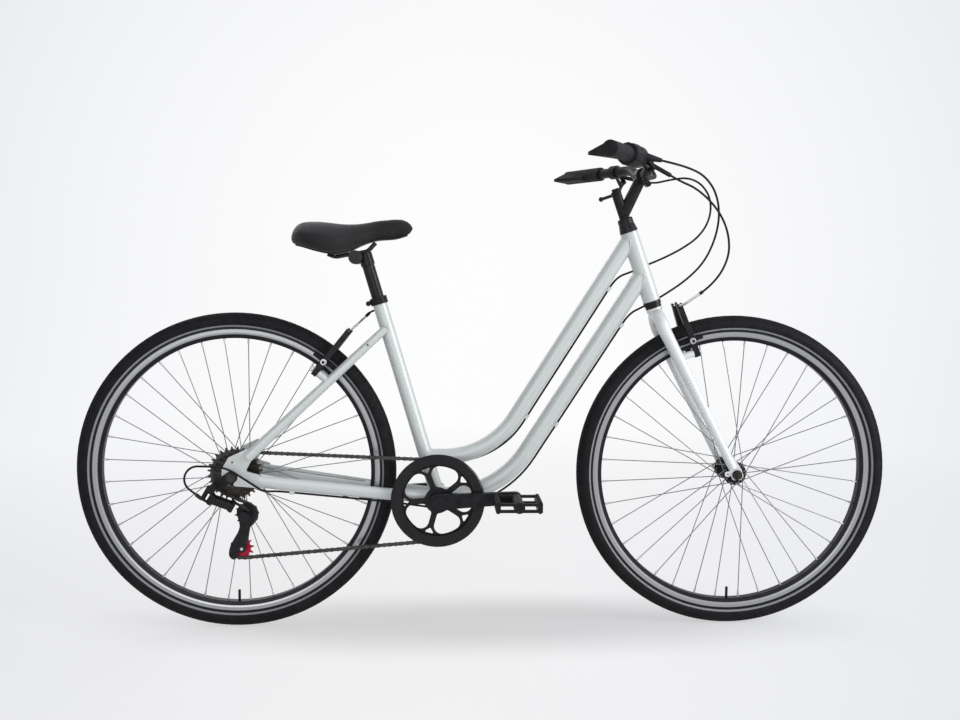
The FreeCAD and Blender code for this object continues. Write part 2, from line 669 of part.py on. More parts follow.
def toothed_disc(teeth, phase, bore, thickness, middle):
    """Sprocket centred at a point, with round seats for the chain's rollers; one seat lies at the phase angle."""
    pitch = pitch_radius(teeth)
    seat_radius = size("roller_radius") + size("seat_clearance")
    tip = pitch + 3.2
    edges = []
    ends = []
    for k in range(teeth):
        angle = phase + 2 * math.pi * k / teeth
        centre = around(angle, pitch)
        sides = [centre + around(angle + turn, seat_radius) for turn in
                 (math.radians(240), math.radians(180), math.radians(120))]
        edges.append(Part.Arc(*sides).toShape())
        ends.append((sides[0], sides[2], angle))
    for k in range(teeth):
        leave = ends[k][1]
        enter = ends[(k + 1) % teeth][0]
        crest = ends[k][2] + math.pi / teeth
        half_crest = 1.1 / tip
        low = around(crest - half_crest, tip)
        high = around(crest + half_crest, tip)
        edges += [Part.LineSegment(leave, low).toShape(), Part.LineSegment(low, high).toShape(),
                  Part.LineSegment(high, enter).toShape()]
    outline = Part.Wire(Part.__sortEdges__(edges))
    disc = Part.Face(outline).extrude(LEFT * thickness)
    disc = disc.cut(Part.makeCylinder(bore, thickness, Vector(0, 0, 0), LEFT))
    disc.translate(middle - LEFT * (thickness / 2))
    return disc


# Chain path: chainring, tension pulley, guide pulley and sprocket
def sprocket_offset(index):
    """Distance of a sprocket to the right of the bicycle's middle plane."""
    return size("smallest_sprocket_offset") - size("sprocket_spacing") * index


drive_index = SPROCKET_TEETH.index(int(size("drive_sprocket_teeth")))
drive_offset = sprocket_offset(drive_index)
guide_centre = rear_axle + Vector(25, -drive_offset, -89)
ring_centre = bracket - LEFT * size("chainline")
sprocket_centre = rear_axle - LEFT * drive_offset


def tangent_angle(first, first_radius, second, second_radius):
    """Heading of the run between two wheels; a wheel that turns the other way has a negative radius."""
    gap = second - first
    return math.atan2(gap.z, gap.x) - math.asin((first_radius - second_radius) / math.hypot(gap.x, gap.z))


def chain_loop(cage_angle):
    """Closed chain path as wheels with arrival and departure angles, and its length."""
    tension = guide_centre + around(cage_angle, size("cage_length"))
    small = pitch_radius(int(size("pulley_teeth")))
    wheels = [(ring_centre, pitch_radius(int(size("chainring_teeth")))), (tension, small), (guide_centre, -small),
              (sprocket_centre, pitch_radius(int(size("drive_sprocket_teeth"))))]
    headings = [tangent_angle(*wheels[k], *wheels[(k + 1) % 4]) for k in range(4)]
    total = 0
    spans = []
    for k, (centre, radius) in enumerate(wheels):
        arrive = headings[k - 1] + math.pi / 2
        depart = headings[k] + math.pi / 2
        turn = (arrive - depart) % (2 * math.pi) if radius > 0 else -((depart - arrive) % (2 * math.pi))
        following, next_radius = wheels[(k + 1) % 4]
        leave = centre + around(depart, radius)
        land = following + around(depart, next_radius)
        spans.append((centre, radius, arrive, turn, leave, land))
        total += abs(radius * turn) + leave.distanceToPoint(land)
    return spans, total


def solve_cage():
    """Cage angle at which the chain holds a whole, even number of links."""
    low = math.radians(-125)
    high = math.radians(-80)
    middle = chain_loop((low + high) / 2)[1]
    links = 2 * round(middle / (2 * size("chain_pitch")))
    target = links * size("chain_pitch") * 1.0012
    rising = chain_loop(high)[1] > chain_loop(low)[1]
    for _ in range(60):
        angle = (low + high) / 2
        if (chain_loop(angle)[1] < target) == rising:
            low = angle
        else:
            high = angle
    return angle, links


cage_angle, link_count = solve_cage()
chain_spans, chain_length = chain_loop(cage_angle)
tension_centre = guide_centre + around(cage_angle, size("cage_length"))
print("chain links", link_count, "length", round(chain_length, 1))
print("cage angle", round(math.degrees(cage_angle), 1))


CHAIN_LEAD = 42


def chain_point(distance):
    """Point of the chain path at a distance from its start."""
    for centre, radius, arrive, turn, leave, land in chain_spans:
        arc = abs(radius * turn)
        if distance <= arc:
            return centre + around(arrive - distance / radius, radius)
        distance -= arc
        run = leave.distanceToPoint(land)
        if distance <= run:
            spot = leave + (land - leave) * (distance / run)
            shift = (distance - CHAIN_LEAD) / max(run - 2 * CHAIN_LEAD, 1)
            spot.y = leave.y + (land.y - leave.y) * min(max(shift, 0), 1)
            return spot
        distance -= run
    return chain_point(0)


pins = [chain_point(chain_length * k / link_count) for k in range(link_count)]


def seat_phase(span):
    """Angle of a chain pin in the middle of a wheel's wrapped arc."""
    centre, radius, arrive, turn, _, _ = span
    middle = centre + around(arrive - turn / 2, radius)
    nearest = min(pins, key=middle.distanceToPoint)
    return math.atan2(nearest.z - centre.z, nearest.x - centre.x)


PLATE = 1.0
INNER_HALF = 1.3
LINK_RADIUS = 4.1
PIN_RADIUS = 1.75


def link_plate(length, start):
    """Round-ended plate of one chain link, from start outwards."""
    body = Part.makeBox(length, PLATE, 2 * LINK_RADIUS - 1.6, Vector(0, start, -LINK_RADIUS + 0.8))
    ends = [Part.makeCylinder(LINK_RADIUS, PLATE, Vector(x, start, 0), LEFT) for x in (0, length)]
    return body.multiFuse(ends)


def inner_link(length):
    plates = [link_plate(length, INNER_HALF), link_plate(length, -INNER_HALF - PLATE)]
    rollers = [Part.makeCylinder(size("roller_radius"), 2 * INNER_HALF, Vector(x, -INNER_HALF, 0), LEFT)
               for x in (0, length)]
    bores = [Part.makeCylinder(PIN_RADIUS + 0.1, 12, Vector(x, -6, 0), LEFT) for x in (0, length)]
    return plates[0].multiFuse(plates[1:] + rollers).cut(Part.makeCompound(bores))


def outer_link(length):
    start = INNER_HALF + PLATE + 0.12
    plates = [link_plate(length, start), link_plate(length, -start - PLATE)]
    reach = start + PLATE
    pegs = [Part.makeCylinder(PIN_RADIUS, 2 * reach, Vector(x, -reach, 0), LEFT) for x in (0, length)]
    return plates[0].multiFuse(plates[1:] + pegs)


def chain():
    links = []
    for k in range(link_count):
        start = pins[k]
        end = pins[(k + 1) % link_count]
        make = inner_link if k % 2 else outer_link
        link = make(start.distanceToPoint(end))
        heading = unit(end - start)
        across = unit(LEFT - heading * heading.dot(LEFT))
        link.Placement = Placement(start, Rotation(heading, across, heading.cross(across), "XYZ"))
        links.append(link)
    return Part.makeCompound(links)


node("chain", feature("chain", chain()))

# Sprocket cluster on a threaded sleeve
sleeve_inner = size("freewheel_seat_radius")
discs = []
for index, teeth in enumerate(SPROCKET_TEETH):
    phase = seat_phase(chain_spans[3]) if index == drive_index else 0
    discs.append(toothed_disc(teeth, phase, sleeve_inner + 2, size("sprocket_thickness"),
                              rear_axle - LEFT * sprocket_offset(index)))
sleeve_start = size("smallest_sprocket_offset") + 1.5
sleeve_length = size("sprocket_spacing") * (len(SPROCKET_TEETH) - 1) + 4
sleeve = Part.makeCylinder(sleeve_inner + 5, sleeve_length, rear_axle - LEFT * sleeve_start, LEFT).cut(
    Part.makeCylinder(sleeve_inner + size("fit_clearance"), sleeve_length, rear_axle - LEFT * sleeve_start, LEFT))
node("sprocket_cluster", feature("sprocket_cluster", sleeve.multiFuse(discs)))

# Chainring with five spokes, and the guard outside it
WINDOW_PHASE = 3
RING_THICKNESS = size("sprocket_thickness")


def polar(degrees, radius):
    return around(math.radians(degrees), radius)


SPOKE_HALF = 6.5
WINDOW_INNER = 29
WINDOW_OUTER = 75.5


def across_edges(window, low, high):
    """Edges that run through the ring's thickness, between two distances from its middle."""
    found = []
    for edge in window.Edges:
        first = edge.valueAt(edge.FirstParameter)
        run = edge.valueAt(edge.LastParameter) - first
        if abs(run.dot(LEFT)) > 1 and low < math.hypot(first.x, first.z) < high:
            found.append(edge)
    return found


def ring_window(middle):
    """Rounded three-cornered window between two spokes."""
    half_step = 180 / GUARD_SPOKES
    apex = polar(middle, SPOKE_HALF / math.sin(math.radians(half_step)))
    far = 2 * WINDOW_OUTER
    sides = [apex, apex + polar(middle + half_step, far), apex + polar(middle - half_step, far)]
    wedge = Part.Face(Part.makePolygon(sides + sides[:1])).extrude(LEFT * 20)
    band = Part.makeCylinder(WINDOW_OUTER, 20, Vector(), LEFT)
    band = band.cut(Part.makeCylinder(WINDOW_INNER, 20, Vector(), LEFT))
    window = wedge.common(band)
    window = window.makeFillet(17, across_edges(window, 50, 100))
    return window.makeFillet(7, across_edges(window, 0, 40))


def ring_slit(middle):
    """Small window where a spoke divides near the rim."""
    corners = [polar(middle, 63), polar(middle + 8.5, 75.5), polar(middle - 8.5, 75.5)]
    return slab(corners, 2, LEFT * 20)


step = 360 / GUARD_SPOKES
windows = [ring_window(WINDOW_PHASE + step * k) for k in range(GUARD_SPOKES)]
windows += [ring_slit(WINDOW_PHASE + step * (k + 0.5)) for k in range(GUARD_SPOKES)]
window_set = Part.makeCompound(windows)
window_set.translate(ring_centre - LEFT * 10)
ring_disc = toothed_disc(int(size("chainring_teeth")), seat_phase(chain_spans[0]), size("crank_boss_radius"),
                         RING_THICKNESS, ring_centre)
node("chainring", feature("chainring", ring_disc.cut(window_set)))

guard_ring = turned("guard_ring", bracket, LEFT * -1, [
    ("sizes.guard_inner_radius", "sizes.guard_offset"), ("sizes.guard_radius - 1.5", "sizes.guard_offset"),
    ("sizes.guard_radius", "sizes.guard_offset + 1.5"),
    ("sizes.guard_radius", "sizes.guard_offset + sizes.guard_thickness - 2"),
    ("sizes.guard_radius - 3", "sizes.guard_offset + sizes.guard_thickness"),
    ("sizes.guard_inner_radius + 2", "sizes.guard_offset + sizes.guard_thickness"),
    ("sizes.guard_inner_radius", "sizes.guard_offset + sizes.guard_thickness - 2")])
ring_face = size("chainline") + RING_THICKNESS / 2
SPACER_CIRCLE = 80.6
spacers = [rod(bracket + polar(WINDOW_PHASE + step * k, SPACER_CIRCLE) - LEFT * ring_face,
               bracket + polar(WINDOW_PHASE + step * k, SPACER_CIRCLE) - LEFT * size("guard_offset"), 2.4)
           for k in range(GUARD_SPOKES)]
node("chain_guard", fuse("chain_guard", guard_ring, feature("guard_spacers", Part.makeCompound(spacers))))

# Cranks, spindle and pedals
boss_inner = size("bracket_width") / 2 + float(CUP_FLANGE) + 1.5
spindle_reach = size("crank_offset") + 4


def crank(centre, along):
    """Right crank arm from its boss to the pedal eye, heading along a direction."""
    length = size("crank_length")
    root = size("crank_boss_radius")
    eye = 13.0
    lean = math.asin((root - eye) / length)
    across = Vector(-along.z, 0, along.x)
    inner = centre - LEFT * size("crank_offset")
    tangent_points = []
    for sign in (1, -1):
        lift = across * (sign * math.cos(lean)) + along * math.sin(lean)
        tangent_points.append((inner + lift * root, inner + along * length + lift * eye))
    (upper_start, upper_end), (lower_start, lower_end) = tangent_points
    outline = Part.Wire([
        Part.LineSegment(upper_start, upper_end).toShape(),
        Part.Arc(upper_end, inner + along * (length + eye), lower_end).toShape(),
        Part.LineSegment(lower_end, lower_start).toShape(),
        Part.Arc(lower_start, inner - along * root, upper_start).toShape()])
    arm = Part.Face(outline).extrude(LEFT * -size("crank_thickness"))
    boss = rod(centre - LEFT * boss_inner, inner, root)
    cap = rod(inner - LEFT * size("crank_thickness"), inner - LEFT * (size("crank_thickness") + 2), root - 5)
    bore = rod(centre, centre - LEFT * spindle_reach, size("spindle_radius"))
    eye_bore = rod(inner + along * length + LEFT, inner + along * length - LEFT * 30, size("pedal_axle_radius"))
    return arm.multiFuse([boss, cap]).cut(bore).cut(eye_bore)


CRANK_TILT = math.radians(3)
forward = Vector(math.cos(CRANK_TILT), 0, math.sin(CRANK_TILT))
node("right_crank", feature("right_crank", crank(bracket, forward)))
node("left_crank", feature("left_crank", mirrored(crank(bracket, forward * -1))))
node("crank_spindle", primitive("Cylinder", "crank_spindle", bracket - LEFT * spindle_reach, LEFT,
                                Radius="sizes.spindle_radius", Height="2 * (sizes.crank_offset + 4)"))

pedal_inner = size("crank_offset") + size("crank_thickness") + size("pedal_gap")
pedal_outer = pedal_inner + size("pedal_width")


def pedal_axle(eye):
    start = eye - LEFT * size("crank_offset")
    axle = rod(start, eye - LEFT * (pedal_outer - 4), size("pedal_axle_radius"))
    collar = rod(eye - LEFT * (size("crank_offset") + size("crank_thickness")), eye - LEFT * (pedal_inner - 1), 9)
    return axle.fuse(collar)


def pedal(eye):
    """Right pedal: barrel, two long rails and two end plates with windows."""
    length = size("pedal_length")
    height = size("pedal_height")
    barrel_radius = 12
    inner = eye - LEFT * pedal_inner
    barrel = Part.makeCylinder(barrel_radius, size("pedal_width"), inner, LEFT * -1)
    pieces = []
    for end in (-1, 1):
        rail_x = end * (length / 2 - 5)
        pieces.append(Part.makeBox(10, size("pedal_width"), height - 6,
                                   eye + Vector(rail_x - 5, -pedal_outer, -height / 2 + 3)))
        for tooth in range(5):
            y = -pedal_outer + (tooth + 0.5) * size("pedal_width") / 5
            pieces.append(Part.makeBox(6, 8, height, eye + Vector(rail_x - 3, y - 4, -height / 2)))
    for y in (-pedal_inner - 6, -pedal_outer):
        for z in (-height / 2 + 3, height / 2 - 9):
            pieces.append(Part.makeBox(length - 10, 6, 6, eye + Vector(-length / 2 + 5, y, z)))
    bore = rod(inner + LEFT, eye - LEFT * (pedal_outer - 3), size("pedal_axle_radius") + size("fit_clearance"))
    return barrel.multiFuse(pieces).cut(bore)


right_eye = bracket + forward * size("crank_length")
left_eye = bracket - forward * size("crank_length")
axle_pair = Part.makeCompound([pedal_axle(right_eye), mirrored(pedal_axle(left_eye))])
node("pedal_axles", feature("pedal_axles", axle_pair))
node("right_pedal", feature("right_pedal", pedal(right_eye)))
node("left_pedal", feature("left_pedal", mirrored(pedal(left_eye))))

# Rear derailleur: mount, two parallel links, knuckle, cage and pulleys
link_ahead = unit(Vector(0.868, 0, -0.496))
link_axis = link_ahead.cross(LEFT)
mount_bolt = rear_axle + Vector(-37, 0, -21)
first_pivot = rear_axle + Vector(-39, -95, -44)
rest = math.radians(size("link_rest_angle"))
link_vector = (link_ahead * math.cos(rest) + LEFT * math.sin(rest)) * size("link_length")
MID_SWING = math.radians(15)
spacing_vector = (link_ahead * -math.sin(MID_SWING) + LEFT * math.cos(MID_SWING)) * size("link_spacing")
LINK_HALF_HEIGHT = 8
CHEEK = 3
PIVOT_RADIUS = 2.4
LINK_END_RADIUS = 5
PIVOT_GAP = 0.3


def hull_plate(first, second, first_radius, second_radius, thickness):
    """Plate around two round ends; both points lie on its near face."""
    along = unit(second - first)
    normal = unit(thickness)
    across = normal.cross(along)
    lean = math.asin((first_radius - second_radius) / first.distanceToPoint(second))
    sides = []
    for sign in (1, -1):
        lift = across * (sign * math.cos(lean)) + along * math.sin(lean)
        sides.append((first + lift * first_radius, second + lift * second_radius))
    (a, b), (d, c) = sides
    wire = Part.Wire([
        Part.LineSegment(a, b).toShape(), Part.Arc(b, second + along * second_radius, c).toShape(),
        Part.LineSegment(c, d).toShape(), Part.Arc(d, first - along * first_radius, a).toShape()])
    return Part.Face(wire).extrude(thickness)


def link(start, half_height):
    low = start - link_axis * half_height
    body = hull_plate(low, low + link_vector, LINK_END_RADIUS, LINK_END_RADIUS, link_axis * (2 * half_height))
    bores = [rod(p - link_axis * 20, p + link_axis * 20, PIVOT_RADIUS + size("fit_clearance"))
             for p in (start, start + link_vector)]
    return body.cut(bores[0]).cut(bores[1])


def cheeks(first, second, reach, tailed):
    """Two plates above and below the links with pins through both; the listed plates carry a tail."""
    gap = LINK_HALF_HEIGHT + PIVOT_GAP
    middle = (first + second) / 2
    pieces = []
    for sign in (-1, 1):
        lift = link_axis * (sign * gap)
        plate = link_axis * (sign * CHEEK)
        pieces.append(hull_plate(first + lift, second + lift, LINK_END_RADIUS, LINK_END_RADIUS, plate))
        if sign in tailed:
            tail = middle + link_ahead * reach + lift
            pieces.append(hull_plate(middle + lift, tail, LINK_END_RADIUS, LINK_END_RADIUS, plate))
    for p in (first, second):
        pieces.append(rod(p - link_axis * gap, p + link_axis * gap, PIVOT_RADIUS))
    return pieces


dropout_outer = dropout_inner + size("dropout_thickness")
second_pivot = first_pivot + spacing_vector
knuckle_first = first_pivot + link_vector
knuckle_second = second_pivot + link_vector
MOUNT_REACH = 15
mount_tail = (first_pivot + second_pivot) / 2 - link_ahead * MOUNT_REACH
claw = hull_plate(rear_axle - LEFT * dropout_outer, mount_bolt - LEFT * dropout_outer, 13, 9, LEFT * -MOUNT_PLATE)
claw = claw.cut(rod(rear_axle - LEFT * 60, rear_axle - LEFT * 90, size("rear_axle_radius")))
mount_face = dropout_outer + MOUNT_PLATE
mount_barrel = rod(mount_bolt - LEFT * mount_face, mount_bolt + LEFT * (first_pivot.y - 4), 9)
mount_post = rod(mount_tail - link_axis * (LINK_HALF_HEIGHT + CHEEK), mount_tail + link_axis * 22, 5)
adjuster_end = first_pivot + Vector(-32.3, 3, 10.7)
adjuster_heading = unit(Vector(0.78, 0, -0.62))
barrel_adjuster = rod(adjuster_end, adjuster_end + adjuster_heading * 16, 4)
mount_block = mount_barrel.multiFuse(cheeks(first_pivot, second_pivot, -MOUNT_REACH, (-1, 1)) +
                                     [mount_post, barrel_adjuster])
node("derailleur_mount", feature("derailleur_mount", Part.makeCompound([claw, mount_block])))
node("derailleur_outer_link", feature("derailleur_outer_link", link(first_pivot, LINK_HALF_HEIGHT)))
node("derailleur_inner_link", feature("derailleur_inner_link", link(second_pivot, LINK_HALF_HEIGHT)))

CAGE_PLATE = 2
CAGE_HALF = 6.4
outer_plate_y = drive_offset + CAGE_HALF
knuckle_inner = outer_plate_y + CAGE_PLATE + PIVOT_GAP
knuckle_reach = (guide_centre - knuckle_first).dot(link_ahead)
knuckle_outer = (knuckle_first.y + knuckle_second.y) / 2 - LINK_END_RADIUS
knuckle_barrel = rod(Vector(guide_centre.x, -knuckle_inner, guide_centre.z),
                     Vector(guide_centre.x, knuckle_outer, guide_centre.z), 11)
cage_pin = rod(Vector(guide_centre.x, -knuckle_inner, guide_centre.z),
               Vector(guide_centre.x, -drive_offset + CAGE_HALF + CAGE_PLATE, guide_centre.z), 3)
knuckle = knuckle_barrel.multiFuse(cheeks(knuckle_first, knuckle_second, knuckle_reach, (1,)) + [cage_pin])
node("derailleur_knuckle", feature("derailleur_knuckle", knuckle))


def cage():
    """Two plates joined by the tension pulley's pin, with holes for the guide pulley's pin."""
    plates = []
    for y in (-outer_plate_y, -drive_offset + CAGE_HALF + CAGE_PLATE):
        plates.append(hull_plate(Vector(guide_centre.x, y, guide_centre.z),
                                 Vector(tension_centre.x, y, tension_centre.z), 11, 9, LEFT * -CAGE_PLATE))
    pin = rod(Vector(tension_centre.x, -outer_plate_y, tension_centre.z),
              Vector(tension_centre.x, -drive_offset + CAGE_HALF, tension_centre.z), 3)
    hole = rod(Vector(guide_centre.x, -80, guide_centre.z), Vector(guide_centre.x, 0, guide_centre.z),
               3 + size("fit_clearance"))
    return plates[0].multiFuse([plates[1], pin]).cut(hole)


node("derailleur_cage", feature("derailleur_cage", cage()))
PULLEY_THICKNESS = 2.2
for name, centre, span in (("guide_pulley", guide_centre, 2), ("tension_pulley", tension_centre, 1)):
    toothed = toothed_disc(int(size("pulley_teeth")), seat_phase(chain_spans[span]), 3 + size("fit_clearance"),
                           PULLEY_THICKNESS, centre)
    bush = Part.makeCylinder(7, 2 * CAGE_HALF - 0.6, centre - LEFT * (CAGE_HALF - 0.3), LEFT).cut(
        Part.makeCylinder(3 + size("fit_clearance"), 2 * CAGE_HALF, centre - LEFT * CAGE_HALF, LEFT))
    node(name, feature(name, toothed.fuse(bush)))

# Fork: steerer, round crown, tapered blades, ends and brake studs
blade_root = crown - size("blade_top_radius") - size("crown_half_width")
crown_half = size("crown_half_width")
arch_path = Part.Wire([Part.Arc(steer(blade_root, 0, crown_half), steer(blade_root + crown_half),
                                steer(blade_root, 0, -crown_half)).toShape()])
arch = pipe(arch_path, Part.Wire([Part.makeCircle(size("blade_top_radius"), steer(blade_root, 0, crown_half),
                                                  steer_up)]))
fork_gap = size("front_dropout_gap") / 2
blade_start = steer(blade_root, 0, -crown_half)
blade_end = steer(17, size("fork_rake") - 4, -fork_gap - 3)
blade = taper(blade_start, blade_end, size("blade_top_radius"), size("blade_end_radius"))
blade_core = taper(blade_start, blade_end, size("blade_top_radius") - 2, size("blade_end_radius") - 2)
shoulder = Part.makeSphere(size("blade_top_radius"), blade_start)
FORK_END = ((-13, -6), (-13, 10), (-9, 40), (5, 40), (13, 8), (13, -6), (6, -13), (-6, -13))


def fork_point(ahead, along, left):
    return steer(along, size("fork_rake") + ahead, left)


fork_end = slab([fork_point(n, s, -fork_gap) for n, s in FORK_END], 3.5, LEFT * -size("fork_end_thickness"))
eyelet_lug = rod(fork_point(-19, 8, -fork_gap), fork_point(-19, 8, -fork_gap - size("fork_end_thickness")), 6)
eyelet_bridge = slab([fork_point(-19, 13, -fork_gap), fork_point(-8, 14, -fork_gap), fork_point(-8, 2, -fork_gap),
                      fork_point(-19, 3, -fork_gap)], 1, LEFT * -size("fork_end_thickness"))
lug_hole = rod(fork_point(-19, 8, -fork_gap + 20), fork_point(-19, 8, -fork_gap - 20), EYELET_BORE)
front_slot_half = size("front_axle_radius") + size("fit_clearance")
front_slot = rod(front_axle, front_axle - LEFT * 90, front_slot_half).fuse(
    Part.makeBox(2 * front_slot_half, 90, 30, front_axle + Vector(-front_slot_half, -90, -30)))
blade_at_stud = size("fork_rake") * (blade_root - size("brake_pivot_radius")) / blade_root
front_stud = brake_stud(front_brake_point, blade_at_stud - size("fork_rake"))
half_fork = blade.cut(blade_core).multiFuse([front_stud.cut(blade_core), fork_end, eyelet_lug, eyelet_bridge])
half_fork = half_fork.cut(front_slot).cut(lug_hole)
steerer_low = steer(crown - 12)
steerer_top = steer(head_top + 26)
steerer = rod(steerer_low, steerer_top, size("steerer_radius"))
steerer_bore = rod(steer(crown), steerer_top, size("quill_radius") + size("fit_clearance"))
crown_ring = rod(steer(crown - 8), steer(crown), 18)
shoulders = [shoulder.cut(blade_core), mirrored(shoulder.cut(blade_core))]
fork_shape = arch.multiFuse([crown_ring, steerer, half_fork, mirrored(half_fork)] + shoulders).cut(steerer_bore)
node("fork", feature("fork", fork_shape))

race_bore = "sizes.steerer_radius"
crown_race = turned("crown_race", steer(size("head_low")), steer_up, [
    (race_bore, "-sizes.cup_height - 7"), ("18", "-sizes.cup_height - 7"),
    ("18", "-sizes.cup_height - sizes.race_gap"), (race_bore, "-sizes.cup_height - sizes.race_gap")])
top_race = turned("top_race", steer(head_top), steer_up, [
    (race_bore, "sizes.cup_height + sizes.race_gap"), ("19", "sizes.cup_height + sizes.race_gap"), ("17", "18"),
    (race_bore, "18")])
locknut = turned("locknut", steer(head_top), steer_up, [
    (race_bore, "18"), ("17", "18"), ("17", "29"), ("15", "32"), ("sizes.quill_radius + 0.3", "32"),
    ("sizes.quill_radius + 0.3", "26.4"), (race_bore, "26.4")])
node("headset_races", group("headset_races", crown_race, top_race, locknut))

# Quill stem and handlebar
clamp_centre = steer(size("stem_clamp_along"), size("stem_clamp_ahead"))
CLAMP_HALF = 21
quill = primitive("Cylinder", "quill", steer(size("head_low") + 80), steer_up, Radius="sizes.quill_radius",
                  Height="sizes.stem_quill_top - sizes.head_low - 80")
quill_cap = primitive("Cylinder", "quill_cap", steer(size("stem_quill_top")), steer_up, Radius="8", Height="6")
arm_root = steer(size("stem_clamp_along") - size("stem_clamp_ahead"), 0)
stem_arm = feature("stem_arm", taper(arm_root, clamp_centre, 13.5, 12.5))
stem_collar = primitive("Cylinder", "stem_collar", clamp_centre - LEFT * CLAMP_HALF, LEFT,
                        Radius="sizes.bar_clamp_radius + 4.5", Height=str(2 * CLAMP_HALF))
bolt_spot = clamp_centre - steer_up * 21 + steer_ahead * 6
clamp_bolt = feature("clamp_bolt", rod(bolt_spot - LEFT * 10, bolt_spot + LEFT * 10, 6))
clamp_bore = primitive("Cylinder", "clamp_bore", clamp_centre - LEFT * 30, LEFT, Radius="sizes.bar_clamp_radius",
                       Height="60")
stem = fuse("quill_stem", quill, quill_cap, stem_arm, stem_collar, clamp_bolt)
node("quill_stem", cut("quill_stem", stem, clamp_bore))

bar_end = clamp_centre + Vector(-size("bar_sweep"), size("bar_half_width"), size("bar_rise"))
bar_corner = clamp_centre + Vector(-4, 95, size("bar_rise"))
bar_shoulder = clamp_centre + Vector(0, 44, 0)
bar_points = [bar_end, bar_corner, bar_shoulder]
bar_points += [Vector(p.x, -p.y, p.z) for p in reversed(bar_points)]
bar_bends = [75, 60, 60, 75]
bar_solid = tube(bar_points, bar_bends, size("bar_radius"))
bar_core = tube(bar_points, bar_bends, size("bar_radius") - size("bar_wall"))
bar_middle = rod(clamp_centre - LEFT * 26, clamp_centre + LEFT * 26, size("bar_clamp_radius"))
node("handlebar", feature("handlebar", bar_solid.fuse(bar_middle).cut(bar_core)))

# Grips, shifter and brake levers, placed along the straight outer length of the bar
right_end = Vector(bar_end.x, -bar_end.y, bar_end.z)
right_inward = unit(Vector(bar_corner.x, -bar_corner.y, bar_corner.z) - right_end)
behind = unit(Vector(right_inward.y, -right_inward.x, 0) * -1)
if behind.x > 0:
    behind = behind * -1
upright = unit(right_inward.cross(behind))
if upright.z < 0:
    upright = upright * -1


def on_bar(inward, back=0, lift=0):
    """Point beside the right half of the bar, measured from its end."""
    return right_end + right_inward * inward + behind * back + upright * lift


def sleeve_on_bar(start, end, radius):
    bore = rod(on_bar(start - 1), on_bar(end + 1), size("bar_radius"))
    return rod(on_bar(start), on_bar(end), radius).cut(bore)


def wing(start, end, reach, drop):
    """Palm rest that tapers to a thin rear edge and narrows inwards."""
    def section(inward, depth):
        radius = size("grip_radius") - 0.6
        corners = [on_bar(inward, 0, radius), on_bar(inward, depth, -drop + 3), on_bar(inward, depth, -drop - 3),
                   on_bar(inward, 0, -radius)]
        return Part.makePolygon(corners + corners[:1])
    return Part.makeLoft([section(start, reach), section(end, reach * 0.45)], True, True)


def grip(length):
    """Closed-ended grip with a palm rest."""
    sleeve = rod(on_bar(-4), on_bar(length), size("grip_radius"))
    body = sleeve.fuse(wing(-4, 74, 44, 8))
    return body.cut(rod(on_bar(0), on_bar(length + 1), size("bar_radius")))


right_grip = grip(size("short_grip_length"))
left_grip = mirrored(grip(size("grip_length")))
node("grips", feature("grips", Part.makeCompound([right_grip, left_grip])))

ring_start = size("short_grip_length") + 0.4
RING_LENGTH = 40
ring_end = ring_start + RING_LENGTH
RING_RADIUS = 22
twist = rod(on_bar(ring_start), on_bar(ring_end), RING_RADIUS).cut(
    rod(on_bar(ring_start - 1), on_bar(ring_end + 1), size("bar_radius") + size("fit_clearance")))
ribs = []
for k in range(12):
    turn = 2 * math.pi * k / 12
    lift = upright * (RING_RADIUS * math.cos(turn)) + behind * (RING_RADIUS * math.sin(turn))
    ribs.append(rod(on_bar(ring_start + 3) + lift, on_bar(ring_end - 3) + lift, 1.4))
node("shifter_twist_ring", feature("shifter_twist_ring", twist.multiFuse(ribs)))

housing_start = ring_end + 0.4
housing_end = housing_start + 26
bracket_start = housing_end + 4
bracket_end = bracket_start + 18
lever_pivot = on_bar(bracket_start + 9, -24, -24)
lever_tip = on_bar(bracket_start - 96, -48, -54)
lever_knee = on_bar(bracket_start - 30, -46, -44)
squeeze = unit(on_bar(bracket_start - 96) - lever_tip)
lever_axis = unit((lever_tip - lever_pivot).cross(squeeze))
LEVER_HALF = 4.2
EAR = 3
LEVER_PIN = 2.4
barrel_root = on_bar(bracket_start + 9, -14, -9)
RIGHT_BARREL_DROP = 34
LEFT_BARREL_DROP = 20


def barrel_tip(drop):
    return on_bar(bracket_end + 30, -52, -drop)


def barrel_heading(drop):
    return unit(barrel_tip(drop) - barrel_root)


def lever_bracket(drop):
    """Band round the bar with two ears for the lever's pin and a sloping barrel for the cable."""
    band = rod(on_bar(bracket_start), on_bar(bracket_end), 15.5)
    pieces = []
    gap = LEVER_HALF + 0.3
    root = on_bar(bracket_start + 9, -10.6, -10.6)
    for sign in (-1, 1):
        near = lever_pivot + lever_axis * (sign * gap)
        flat = root - lever_axis * (root - near).dot(lever_axis)
        pieces.append(hull_plate(near, flat, 6.5, 3.4, lever_axis * (sign * EAR)))
    pieces.append(rod(lever_pivot - lever_axis * gap, lever_pivot + lever_axis * gap, LEVER_PIN))
    barrel = rod(barrel_root, barrel_tip(drop), 4.6)
    shape = band.multiFuse(pieces + [barrel])
    return shape.cut(rod(on_bar(bracket_start - 1), on_bar(bracket_end + 30), size("bar_radius")))


def brake_lever():
    hub_part = rod(lever_pivot - lever_axis * LEVER_HALF, lever_pivot + lever_axis * LEVER_HALF, 6)
    blade_rod = tube([lever_pivot, lever_knee, lever_tip], [50], 4)
    ball = Part.makeSphere(6, lever_tip)
    bore = rod(lever_pivot - lever_axis * 10, lever_pivot + lever_axis * 10, LEVER_PIN + size("fit_clearance"))
    return hub_part.multiFuse([blade_rod, ball]).cut(bore)


